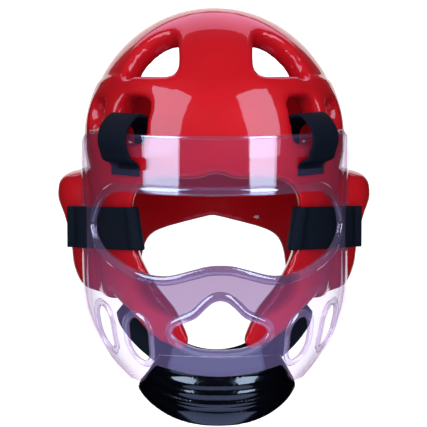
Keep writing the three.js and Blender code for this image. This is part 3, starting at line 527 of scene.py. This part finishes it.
def plate_outline():
    z = np.linspace(-SHIELD_TOP_DROP, -SHIELD_SIDE_DROP, 60)
    _, reach, setback = shield_section(z)
    edge = UNROLL * np.arccos(setback / reach)
    low = [(1.2, -SHIELD_SIDE_DROP), (1.1, -SHIELD_FRONT_DROP - 1.5)]
    low += [(out, -SHIELD_FRONT_DROP + rise * CORNER_RISE) for out, rise in FOOT_ROWS]
    right_low = unrolled([(out * NOTCH_HALF_WIDTH, height) for out, height in low])
    right = np.vstack([np.column_stack([edge, z]), right_low])
    left = right[::-1] * (-1, 1)
    return np.vstack([right, [(0, -SHIELD_FRONT_DROP)], left])


# %% Cut the slab and bend it
TOOL_NEAR, TOOL_FAR = -4, 8
BENCH_WIDTH, BENCH_HEIGHT, BENCH_MIDDLE_Z, BENCH_COLUMNS, BENCH_ROWS = 0.34, 0.186, -0.1605, 110, 62


def raised(bm, faces, depth):
    """Extrudes faces backwards by some millimetres, with their normals put right."""
    grown = bmesh.ops.extrude_face_region(bm, geom=faces)
    moved = [v for v in grown["geom"] if isinstance(v, bmesh.types.BMVert)]
    bmesh.ops.translate(bm, verts=moved, vec=(0, depth * MM, 0))
    bmesh.ops.recalc_face_normals(bm, faces=bm.faces)


def prism(name, outline):
    """A flat outline (along, height) as a solid through the slab."""
    bm = bmesh.new()
    ring = [bm.verts.new((u * MM, TOOL_NEAR * MM, z * MM)) for u, z in outline]
    raised(bm, [bm.faces.new(ring)], TOOL_FAR - TOOL_NEAR)
    return place_mesh(name, mesh_from(bm, name, smooth=False))


def cut(thing, tools, operation):
    for tool in tools:
        step = thing.modifiers.new("cut", "BOOLEAN")
        step.operation = operation
        step.solver = "EXACT"
        step.object = tool
    thing.data = finished_mesh(thing)
    for tool in tools:
        bpy.data.objects.remove(tool)


bm = bmesh.new()
bmesh.ops.create_grid(bm, x_segments=BENCH_COLUMNS, y_segments=BENCH_ROWS, size=0.5)
bmesh.ops.scale(bm, verts=bm.verts, vec=(BENCH_WIDTH, BENCH_HEIGHT, 1))
bmesh.ops.rotate(bm, verts=bm.verts, matrix=Matrix.Rotation(math.radians(90), 3, "X"))
bmesh.ops.translate(bm, verts=bm.verts, vec=(0, 0, BENCH_MIDDLE_Z))
raised(bm, bm.faces[:], SHIELD_WALL)
plate = place_mesh("shield_plate", mesh_from(bm, "shield_plate"))
cut(plate, [prism("edge", plate_outline())], "INTERSECT")
cut(plate, [prism("tool", outline) for outline in [eye, mouth, *vents, *slots]], "DIFFERENCE")
set_points(plate.data, bent(points_of(plate.data)))
bm = bmesh.new()
bm.from_mesh(plate.data)
bmesh.ops.remove_doubles(bm, verts=bm.verts, dist=2e-6)
for edge in bm.edges:
    edge.smooth = len(edge.link_faces) == 2 and edge.calc_face_angle(0) < math.radians(40)
plate.data = mesh_from(bm, "shield_plate")
print("plate faces", len(plate.data.polygons))

# %% [markdown]
# ## Moulded rims
# Each opening has a raised, rounded lip that wraps its edge. A lip is a section carried round the
# opening: the section is rolled from a grid, whose one direction follows the opening and whose
# other direction follows the section.

# %% Rolling a grid into a band or a ring
def rolled(name, rings, closed_path=False):
    """A skin over stations that each give the same closed section (mm), with a map in metres."""
    rings = np.asarray(rings, float)
    stations, around = rings.shape[:2]
    spans = stations if closed_path else stations - 1
    bm = bmesh.new()
    bmesh.ops.create_grid(bm, x_segments=spans, y_segments=around, size=0.5)
    layer = bm.loops.layers.uv.new("lay")
    middles = rings.mean(axis=1)
    steps = np.linalg.norm(np.diff(np.vstack([middles, middles[:1]]), axis=0), axis=1)
    lengths = np.concatenate([[0], np.cumsum(steps)]) * MM
    section = np.vstack([rings[0], rings[0][:1]])
    girths = np.concatenate([[0], np.cumsum(np.linalg.norm(np.diff(section, axis=0), axis=1))]) * MM
    where = {v: (round((v.co.x + 0.5) * spans), round((v.co.y + 0.5) * around)) for v in bm.verts}
    for face in bm.faces:
        for loop in face.loops:
            i, j = where[loop.vert]
            loop[layer].uv = (lengths[i], girths[j])
    for v, (i, j) in where.items():
        v.co = rings[i % stations][j % around] * MM
    bmesh.ops.remove_doubles(bm, verts=bm.verts, dist=1e-6)
    if not closed_path:
        bmesh.ops.holes_fill(bm, edges=[e for e in bm.edges if e.is_boundary], sides=0)
    bmesh.ops.recalc_face_normals(bm, faces=bm.faces)
    return place_mesh(name, mesh_from(bm, name))


def rolled_on_shield(name, rings, closed_path=False):
    """The same from stations on the flat bench, bent onto the shield's form."""
    rings = np.array(rings)
    return rolled(name, bent(rings.reshape(-1, 3)).reshape(rings.shape), closed_path)


# %% The lips
def outward(outline):
    """The direction out of a closed outline at each of its points."""
    ahead = np.roll(outline, -1, 0) - np.roll(outline, 1, 0)
    ahead /= np.linalg.norm(ahead, axis=1)[:, None] + 1e-9
    area = np.sum(outline[:, 0] * np.roll(outline[:, 1], -1) - np.roll(outline[:, 0], -1) * outline[:, 1])
    return np.column_stack([ahead[:, 1], -ahead[:, 0]]) * np.sign(area)


def lip(name, outline, width, rise):
    # out from the opening's edge, and deep below the outer face
    section = [(width + 1.2, 0.25), (width, -0.3 * rise), (width - 0.9, -0.85 * rise), (width - 1.9, -rise),
               (1.6, -rise), (0.5, -0.8 * rise), (-0.1, -0.1 * rise), (-0.25, 0.8), (-0.1, 2.2),
               (0.4, SHIELD_WALL + 0.05), (1.4, SHIELD_WALL + 0.25), (2.6, SHIELD_WALL - 0.1), (2.6, 1.6),
               (width, 1.2)]
    rings = [[(u + out * away_u, depth, z + out * away_z) for out, depth in section]
             for (u, z), (away_u, away_z) in zip(outline, outward(outline))]
    return rolled_on_shield(name, rings, closed_path=True)


rims = [lip("eye_rim", eye, width=5.2, rise=1.5), lip("mouth_rim", mouth, width=5.2, rise=1.5)]
rims += [lip(f"vent_rim_{k + 1}", outline, width=3.8, rise=1.3) for k, outline in enumerate(vents)]
print("lips", len(rims))


# %% [markdown]
# ### The upper edge
# The shield's upper edge is rounded over and shows as one thin line across the brow. It thickens
# inwards, because the brow straps pass close in front of it.

# %% The upper edge
def top_lip(name):
    _, reach, setback = shield_section(-SHIELD_TOP_DROP)
    corner = UNROLL * math.acos(setback[0] / reach[0])
    # up from the edge, and deep below the outer face
    section = [(0.35, 1.5), (0.28, 0.7), (0, 0.12), (-0.6, -0.12), (-1.5, -0.12), (-2.1, 0.15), (-2.1, 2.8),
               (-1.5, 3.5), (-0.6, 3.6), (0, 3), (0.28, 2.3)]
    rings = [[(along, depth, up - SHIELD_TOP_DROP) for up, depth in section]
             for along in np.linspace(-corner, corner, 160)]
    return rolled_on_shield(name, rings)


rims.append(top_lip("top_rim"))
print("upper edge", len(rims[-1].data.polygons))

# %% [markdown]
# ## Clear plastic
# Thin clear plastic shows what is behind it a little darker, throws a faint milky haze over it,
# and mirrors its surroundings more the flatter you look along it. Three simple layers do that and
# keep the light coming through: a tinted see-through layer, a little haze that grows towards the
# chin, and a mirror layer whose share grows the flatter the face lies to the view. The haze is
# partly lit by the lamps and partly a painted glow, a light of its own that stands for a veil of
# reflections. The tint deepens on flat-seen faces. At the bridge of the nose, where the
# photograph has it, a deeper tint is painted shade for the dimmer view through the bridge. The cut
# edges take a darker tint of their own. The plastic throws no shadow, because a real clear shield
# hardly dims the face behind it.

# %% Clear plastic
# where the painted shade at the bridge of the nose sits, and how fast it falls away
BRIDGE_SCALE_X, BRIDGE_SCALE_Z, BRIDGE_LIFT = 19, 38, 6.6
# where the haze's painted glow starts and ends down the shield, and how strong it is there
GLOW_FROM_Z, GLOW_TO_Z, GLOW_LOW, GLOW_HIGH = -0.12, -0.21, 0.15, 2.6


def bridge_shade_mask(nodes, links):
    """Painted shade: one at the bridge of the nose, falling to nothing a few centimetres away."""
    mapping = nodes.new("ShaderNodeMapping")
    mapping.inputs["Location"].default_value = (0, 0, BRIDGE_LIFT)
    mapping.inputs["Scale"].default_value = (BRIDGE_SCALE_X, 0, BRIDGE_SCALE_Z)
    links.new(object_place(nodes), mapping.inputs["Vector"])
    far = nodes.new("ShaderNodeVectorMath")
    far.operation = "LENGTH"
    links.new(mapping.outputs["Vector"], far.inputs[0])
    fall = nodes.new("ShaderNodeMapRange")
    fall.interpolation_type = "SMOOTHSTEP"
    fall.inputs["From Min"].default_value = 0.7
    fall.inputs["From Max"].default_value = 1.4
    fall.inputs["To Min"].default_value = 1
    fall.inputs["To Max"].default_value = 0
    links.new(far.outputs["Value"], fall.inputs["Value"])
    return fall.outputs["Result"]


def painted_haze_glow(nodes, links):
    """The strength of the haze's painted glow, which grows down the shield."""
    height = nodes.new("ShaderNodeSeparateXYZ")
    links.new(object_place(nodes), height.inputs["Vector"])
    glow_by_height = nodes.new("ShaderNodeMapRange")
    glow_by_height.inputs["From Min"].default_value = GLOW_FROM_Z
    glow_by_height.inputs["From Max"].default_value = GLOW_TO_Z
    glow_by_height.inputs["To Min"].default_value = GLOW_LOW
    glow_by_height.inputs["To Max"].default_value = GLOW_HIGH
    links.new(height.outputs["Z"], glow_by_height.inputs["Value"])
    return glow_by_height.outputs["Result"]


def grazing(nodes, links, power, low, high):
    """A share that climbs from low to high as the face turns flat to the view."""
    flatness = nodes.new("ShaderNodeLayerWeight")
    flatness.inputs["Blend"].default_value = 0.5
    steep = nodes.new("ShaderNodeMath")
    steep.operation = "POWER"
    steep.inputs[1].default_value = power
    links.new(flatness.outputs["Facing"], steep.inputs[0])
    share = nodes.new("ShaderNodeMapRange")
    share.inputs["To Min"].default_value = low
    share.inputs["To Max"].default_value = high
    links.new(steep.outputs["Value"], share.inputs["Value"])
    return share.outputs["Result"]


def mixed(nodes, links, share, first, second):
    mix = nodes.new("ShaderNodeMixShader")
    links.new(first, mix.inputs[1])
    links.new(second, mix.inputs[2])
    if isinstance(share, float):
        mix.inputs["Fac"].default_value = share
    else:
        links.new(share, mix.inputs["Fac"])
    return mix.outputs["Shader"]


def clear_plastic(name, tint, deep_tint_and_shade, haze_and_glow, haze_and_glow_colour, mirror_share):
    material, nodes, links, shader = new_material(name)
    shader.inputs["Base Color"].default_value = (*haze_and_glow_colour, 1)
    shader.inputs["Roughness"].default_value = 0.5
    # the haze's emission is a painted glow, a light of its own that stands for a veil of reflections
    shader.inputs["Emission Color"].default_value = (*haze_and_glow_colour, 1)
    links.new(painted_haze_glow(nodes, links), shader.inputs["Emission Strength"])
    thickness_and_shade = nodes.new("ShaderNodeMath")
    thickness_and_shade.operation = "MAXIMUM"
    # the deep tint comes where the face is seen flat, and as painted shade at the bridge of the nose
    links.new(bridge_shade_mask(nodes, links), thickness_and_shade.inputs[0])
    links.new(grazing(nodes, links, 2.5, 0, 0.75), thickness_and_shade.inputs[1])
    see_through = nodes.new("ShaderNodeBsdfTransparent")
    links.new(ramp(nodes, links, thickness_and_shade.outputs["Value"], tint, deep_tint_and_shade), see_through.inputs["Color"])
    mirror = nodes.new("ShaderNodeBsdfAnisotropic")
    mirror.inputs["Color"].default_value = (1, 1, 1, 1)
    mirror.inputs["Roughness"].default_value = 0.025
    wave = noise(nodes, links, object_place(nodes), 16, 1)
    links.new(bump(nodes, links, wave, 0.25, 0.6), mirror.inputs["Normal"])
    body = mixed(nodes, links, haze_and_glow, see_through.outputs["BSDF"], shader.outputs["BSDF"])
    whole = mixed(nodes, links, grazing(nodes, links, 5, mirror_share, 0.6), body, mirror.outputs["BSDF"])
    links.new(whole, nodes["Material Output"].inputs["Surface"])
    return material


plate_plastic = clear_plastic("clear_plate", tint=(0.975, 0.95, 0.985), deep_tint_and_shade=(0.66, 0.57, 0.68),
                              haze_and_glow=0.02, haze_and_glow_colour=(0.5, 0.4, 1), mirror_share=0.05)
rim_plastic = clear_plastic("clear_rim", tint=(0.965, 0.945, 0.975), deep_tint_and_shade=(0.72, 0.64, 0.74),
                            haze_and_glow=0.015, haze_and_glow_colour=(0.6, 0.55, 0.9), mirror_share=0.1)
edge_plastic = clear_plastic("clear_edge", tint=(0.74, 0.64, 0.74), deep_tint_and_shade=(0.6, 0.5, 0.62),
                             haze_and_glow=0.03, haze_and_glow_colour=(0.6, 0.4, 0.6), mirror_share=0.06)
for part, material in [(plate, plate_plastic), *[(rim, rim_plastic) for rim in rims]]:
    part.data.materials.clear()
    part.data.materials.append(material)
    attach(part, "root")
    part.visible_shadow = False
plate.data.materials.append(edge_plastic)
for face in plate.data.polygons:
    away = Vector((face.center.x / SHIELD_HALF_WIDTH**2, face.center.y / SHIELD_REACH**2, 0)).normalized()
    face.material_index = int(abs(face.normal.dot(away)) < 0.5)
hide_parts("face_shield")
print("edge faces", sum(face.material_index for face in plate.data.polygons))

# %% [markdown]
# ## Chin cup
# The cup is a glossy moulding with a thick wall, three shallow ribs and a smooth lower rim. Its
# sections are worked out from the same sizes as the solid's, in finer steps, and rolled into one
# skin from end to end. It is then rebuilt as small even faces and relaxed, so its edges roll over.

# %% Chin cup
CUP_TOP, CUP_BOTTOM, CUP_HALF_WIDTH, CUP_END_RISE = 225, 277.5, 57.5, 19
CUP_WALL, CUP_BULGE, CUP_FLOOR_REACH, CUP_FLOOR_LIFT = 7, 7, 26, 3
RIB_DEPTH, RIB_COUNT, RIB_START, RIB_SPAN = 1.7, 3, 0.38, 0.44
CUP_VOXEL, CUP_ROUNDS = 1.0, 4
# down and half width as shares
CUP_ROWS = np.array([(0, 0.75), (0.115, 0.8), (0.265, 0.87), (0.415, 0.94), (0.56, 1), (0.71, 0.99),
                     (0.86, 0.96), (1, 0.93)])


def cup_place(share, drop, inset):
    """A place on the cup: its share of the half width, its drop, and its depth inside the seat."""
    width, reach, _ = shield_section(-np.minimum(drop, SHIELD_SIDE_DROP))
    below = max(drop - SHIELD_SIDE_DROP, 0)
    seat = SHIELD_WALL + 2.4 * CLEARANCE + inset + 0.035 * below**1.8
    half = CUP_HALF_WIDTH * eased(CUP_ROWS, [(drop - CUP_TOP) / (CUP_BOTTOM - CUP_TOP)])[0, 0]
    width, reach = width[0] - seat, reach[0] - seat
    x = share * half * width / (width + inset)
    return x, -reach * math.sqrt(max(1 - (x / width) ** 2, 0.02)), -drop


def cup_section(share):
    bottom = CUP_BOTTOM - CUP_END_RISE * abs(share) ** 2.6
    height = bottom - CUP_TOP
    swell_share = 1 - abs(share) ** 3
    loop = []
    for down in np.linspace(0, 1, 64):
        drop = CUP_TOP + down * height
        free = min(max((drop - SHIELD_FRONT_DROP - 1) / CUP_BULGE, 0), 1)
        rib_share = min(max((down - RIB_START) / RIB_SPAN, 0), 1)
        rib = RIB_DEPTH * (1 - math.cos(rib_share * RIB_COUNT * 2 * math.pi)) / 2
        loop.append(cup_place(share, drop, -free * swell_share * (CUP_BULGE - rib)))
    floor_drop = bottom - CUP_FLOOR_LIFT
    for drop, inset in ((floor_drop, CUP_FLOOR_REACH), (floor_drop - 0.7 * CUP_WALL, CUP_FLOOR_REACH),
                        (floor_drop - CUP_WALL, 2.3 * CUP_WALL), (bottom - 0.4 * height, 1.15 * CUP_WALL),
                        (CUP_TOP + 0.33 * height, CUP_WALL), (CUP_TOP, 0.6 * CUP_WALL)):
        loop.append(cup_place(share, drop, inset))
    return loop


cup = rolled("chin_guard_cup", [cup_section(share) for share in np.linspace(-1, 1, 81)])
cup.data.transform(Matrix.Rotation(SHIELD_TURN, 4, "Z"))
remeshed(cup, CUP_VOXEL)
relaxed(cup, CUP_ROUNDS)
print("cup faces", len(cup.data.polygons))

# %% [markdown]
# ## Black gloss
# The cup's plastic is near black and polished, with very slight waves from the mould.

# %% Black gloss
black_gloss, nodes, links, shader = new_material("black_gloss")
place = object_place(nodes)
clouds = noise(nodes, links, place, 30)
waves = noise(nodes, links, place, 60)
links.new(ramp(nodes, links, clouds, (0.0008, 0.001, 0.0025), (0.002, 0.0025, 0.005)),
          shader.inputs["Base Color"])
shader.inputs["Roughness"].default_value = 0.16
shader.inputs["Coat Weight"].default_value = 0.6
shader.inputs["Coat Roughness"].default_value = 0.04
links.new(bump(nodes, links, waves, 0.15, 0.5), shader.inputs["Normal"])
cup.data.materials.clear()
cup.data.materials.append(black_gloss)
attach(cup, "root")
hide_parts("chin_cup")
print("black gloss on", cup.name)

# %% [markdown]
# ## Webbing
# A strap is a flat woven band. Its route is a smooth curve through a few places, and a rounded
# section is carried along it. The bands keep a lengthways map, so the weave follows them round
# every bend.

# %% A band along a route
WEBBING = 2.4
# out and across as shares of half the thickness and half the width
BAND_SECTION = [(-0.55, -1), (0.55, -1), (0.92, -0.975), (1, -0.93), (1, -0.45), (1, 0), (1, 0.45), (1, 0.93),
                (0.92, 0.975), (0.55, 1), (-0.55, 1), (-0.92, 0.975), (-1, 0.93), (-1, 0.45), (-1, 0),
                (-1, -0.45), (-1, -0.93), (-0.92, -0.975)]


def eased_route(points, count):
    """An open smooth curve through the points, evenly spaced."""
    points = np.asarray(points, float)
    ends = np.vstack([2 * points[0] - points[1], points, 2 * points[-1] - points[-2]])
    t = np.linspace(0, 1, 20, endpoint=False)[:, None]
    curve = [between(*ends[k - 1:k + 3], t) for k in range(1, len(ends) - 2)]
    return evenly(np.vstack([*curve, points[-1:]]), count)


def headings(path, scale=(1, 1)):
    """The direction of travel at each place of a flat path."""
    ahead = np.gradient(path, axis=0) * scale
    return ahead / np.linalg.norm(ahead, axis=1)[:, None]


def band(name, middles, outs, acrosses, width):
    rings = [[m + o * WEBBING / 2 * out + c * width / 2 * across for o, c in BAND_SECTION]
             for m, out, across in zip(middles, outs, acrosses)]
    return rolled(name, rings)


# %% [markdown]
# ### Brow straps
# Each brow strap is looped over the bar of foam between the brow hole and the brow's lower edge.
# It lies on the brow, comes out through the shield's slot, arches up in front of the plate, and
# goes back in through the brow hole and down behind the foam.

# %% The brow straps
BROW_EDGE_DROP, HOLE_TOP_DROP, HOLE_FOOT_DROP = 101.5, 47, 79
BROW_STRAP_WIDTH, BROW_BULGE = 28, 12
CLIMB = 12 + 0.66 * (HOLE_FOOT_DROP - HOLE_TOP_DROP)
# out of the brow and up from the slot, as shares of the bulge and the climb
BROW_ARCH = [(0.88, 0.08), (1, 0.2), (1.2, 0.42), (1.12, 0.66), (0.67, 0.88), (0.08, 1)]


def brow_band(name, side):
    bar_z = -0.5 * (HOLE_FOOT_DROP + BROW_EDGE_DROP)
    width, front, _ = eased(BODY_ROWS, [(WIDEST_Z - bar_z) / BODY_DROP])[0] * (
        OUTER_HALF_WIDTH, OUTER_HALF_LENGTH, OUTER_HALF_LENGTH)
    x = side * BROW_STRAP_X + math.sin(SHIELD_TURN) * 0.75 * OUTER_HALF_LENGTH
    y = -front * math.sqrt(1 - (x / width) ** 2)
    turn = math.atan2(x / width**2, -y / front**2)
    lie = 1.5 * CLEARANCE + WEBBING / 2
    behind = -FOAM_WALL * 1.13 - lie
    rows = [(lie, -BROW_EDGE_DROP + 1), (lie, BROW_SLOT_Z - 4.4), (lie + 0.6, BROW_SLOT_Z - 2.2),
            (4.7, BROW_SLOT_Z)]
    rows += [(out * BROW_BULGE, BROW_SLOT_Z + rise * CLIMB) for out, rise in BROW_ARCH]
    rows += [(-FOAM_WALL / 2, BROW_SLOT_Z + 0.91 * CLIMB), (behind + 1.6, BROW_SLOT_Z + 0.66 * CLIMB),
             (behind, BROW_SLOT_Z + 0.39 * CLIMB), (behind, -BROW_EDGE_DROP + 8)]
    path = eased_route(rows, 70)
    ahead = headings(path)
    forth = np.array([math.sin(turn), -math.cos(turn), 0])
    across = np.array([math.cos(turn), math.sin(turn), 0])
    up = np.array([0, 0, 1])
    middles = np.array([x, y, 0]) + path[:, :1] * forth + path[:, 1:] * up
    outs = ahead[:, 1:] * forth - ahead[:, :1] * up
    return band(name, middles, outs, np.tile(across, (len(path), 1)), BROW_STRAP_WIDTH)


straps = [(brow_band("brow_band_left", 1), "brow_strap_left")]
straps += [(brow_band("brow_band_right", -1), "brow_strap_right")]
print("brow straps", len(straps))


# %% [markdown]
# ### Side straps
# Each side strap starts at the ear guard, runs forward through the shield's side slot and folds
# round the front of the cheek limb to its inner face. The route is seen from above, for the left.

# %% The side straps
SIDE_ROUTE = [(108.4, -11.4), (105.9, -13.6), (102.9, -15.7), (101.8, -19.3), (101.2, -23.7),
              (99.2, -28.5), (95.7, -33.1), (91.6, -37.3), (87.2, -43), (81.6, -56.4), (76.4, -66.4),
              (70.8, -75.2), (64.9, -82.4), (61.9, -88.6), (58.1, -89.3), (56.3, -86.3), (56.3, -74.1),
              (56.4, -57.4), (57.9, -50.4), (61.9, -45.1), (64.7, -37.8), (67.9, -27)]
SIDE_STRAP_WIDTH, SIDE_FRONT_Z, SIDE_FALL = 30.5, -138, 8
SLANT, SLANT_X, SLANT_RUN = 4.5, 59, 22


def side_band(name, side):
    path = eased_route(SIDE_ROUTE, 110)
    ahead = headings(path)
    front_y = path[:, 1].min()
    height = SIDE_FRONT_Z - SIDE_FALL * np.clip((path[:, 1] - front_y) / -front_y, 0, 1)
    slant = SLANT * np.clip(1 - (path[:, 0] - SLANT_X) / SLANT_RUN, 0, 1)
    level, upright = np.zeros(len(path)), np.ones(len(path))
    middles = np.column_stack([side * (path[:, 0] - slant / 2), path[:, 1], height])
    outs = np.column_stack([side * -ahead[:, 1], ahead[:, 0], level])
    acrosses = np.column_stack([side * slant / SIDE_STRAP_WIDTH, level, upright])
    return band(name, middles, outs, acrosses, SIDE_STRAP_WIDTH)


straps += [(side_band("side_band_left", 1), "side_strap_left")]
straps += [(side_band("side_band_right", -1), "side_strap_right")]
print("straps so far", len(straps))


# %% [markdown]
# ### Chin strap
# The chin strap runs from limb to limb inside the foam and sags under the chin. Its lower edge
# stands out at the ends, where it leaves the limbs. The route is given on the form's inner face,
# by the bearing from straight ahead and the drop, so the strap follows the jaw.

# %% The chin strap
# bearing, drop, and the share by which the lower edge stands out
CHIN_ROUTE = [(76, 198, 0.85), (66, 205.4, 1), (54, 215.2, 0.8), (42, 223.5, 0.5), (30, 230.5, 0.2),
              (15, 235.1, 0), (0, 236.5, 0)]
CHIN_WIDTH, CHIN_SPLAY = 25, 8


def inside_jaw(bearing, z, depth):
    """Places at some depth inside the form's outer face."""
    width, front, _ = eased(BODY_ROWS, (WIDEST_Z - z) / BODY_DROP).T
    turn = np.radians(bearing)
    return np.column_stack([(width * OUTER_HALF_WIDTH - depth) * np.sin(turn),
                            -(front * OUTER_HALF_LENGTH - depth) * np.cos(turn), z])


def chin_band(name):
    rows = CHIN_ROUTE + [(-bearing, drop, splay) for bearing, drop, splay in CHIN_ROUTE[-2::-1]]
    path = eased_route(rows, 90)
    per_degree = 0.93 * HEAD_HALF_WIDTH * math.pi / 180
    ahead = headings(path[:, :2], (per_degree, -1))
    near_face = FOAM_WALL + 2.5 * CLEARANCE
    rings = []
    for out, cross in BAND_SECTION:
        reach = -cross * CHIN_WIDTH / 2
        bearing = path[:, 0] - reach * ahead[:, 1] / per_degree
        depth = near_face + (1 - out) / 2 * WEBBING - CHIN_SPLAY * path[:, 2] * max(-cross, 0)
        ring = inside_jaw(bearing, -path[:, 1], depth)
        ring[:, 2] += reach * ahead[:, 0]
        rings.append(ring)
    return rolled(name, np.swapaxes(np.array(rings), 0, 1))


straps.append((chin_band("chin_band"), "chin_strap"))
print("straps", len(straps))

# %% [markdown]
# ## Woven black nylon
# Webbing shows fine cross ribs and slanted threads between them. The pattern is read from the
# band's own lengthways map, in millimetres, and raises the threads. It also colours them by their
# height, darker in the grooves between threads: that is painted shade.

# %% Webbing material
RIB_SCALE, SLANTED_SCALE, THREAD_SLANT = 0.55, 0.4, 38


def webbing_material(name):
    material, nodes, links, shader = new_material(name)
    lay = nodes.new("ShaderNodeUVMap")
    lay.uv_map = "lay"
    mapping = nodes.new("ShaderNodeMapping")
    mapping.inputs["Scale"].default_value = (1000, 1000, 1)
    links.new(lay.outputs["UV"], mapping.inputs["Vector"])
    heights = []
    for rotation, scale in ((0, RIB_SCALE), (math.radians(THREAD_SLANT), SLANTED_SCALE)):
        turned = nodes.new("ShaderNodeMapping")
        turned.inputs["Rotation"].default_value = (0, 0, rotation)
        links.new(mapping.outputs["Vector"], turned.inputs["Vector"])
        threads = nodes.new("ShaderNodeTexWave")
        threads.wave_type = "BANDS"
        threads.inputs["Scale"].default_value = scale
        links.new(turned.outputs["Vector"], threads.inputs["Vector"])
        heights.append(threads.outputs["Fac"])
    weave_height_and_shade = nodes.new("ShaderNodeMath")
    weave_height_and_shade.operation = "MULTIPLY"
    links.new(heights[0], weave_height_and_shade.inputs[0])
    links.new(heights[1], weave_height_and_shade.inputs[1])
    # the threads' colour darkens where the weave is low: painted shade in the grooves
    links.new(ramp(nodes, links, weave_height_and_shade.outputs["Value"], (0.001, 0.003, 0.008), (0.007, 0.013, 0.028)),
              shader.inputs["Base Color"])
    shader.inputs["Roughness"].default_value = 0.7
    shader.inputs["Specular IOR Level"].default_value = 0.08
    links.new(bump(nodes, links, weave_height_and_shade.outputs["Value"], 0.5, 0.35), shader.inputs["Normal"])
    return material


woven = webbing_material("woven_black")
for strap, node in straps:
    strap.data.materials.append(woven)
    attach(strap, "root")
    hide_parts(node)
print("webbing on", len(straps), "straps")
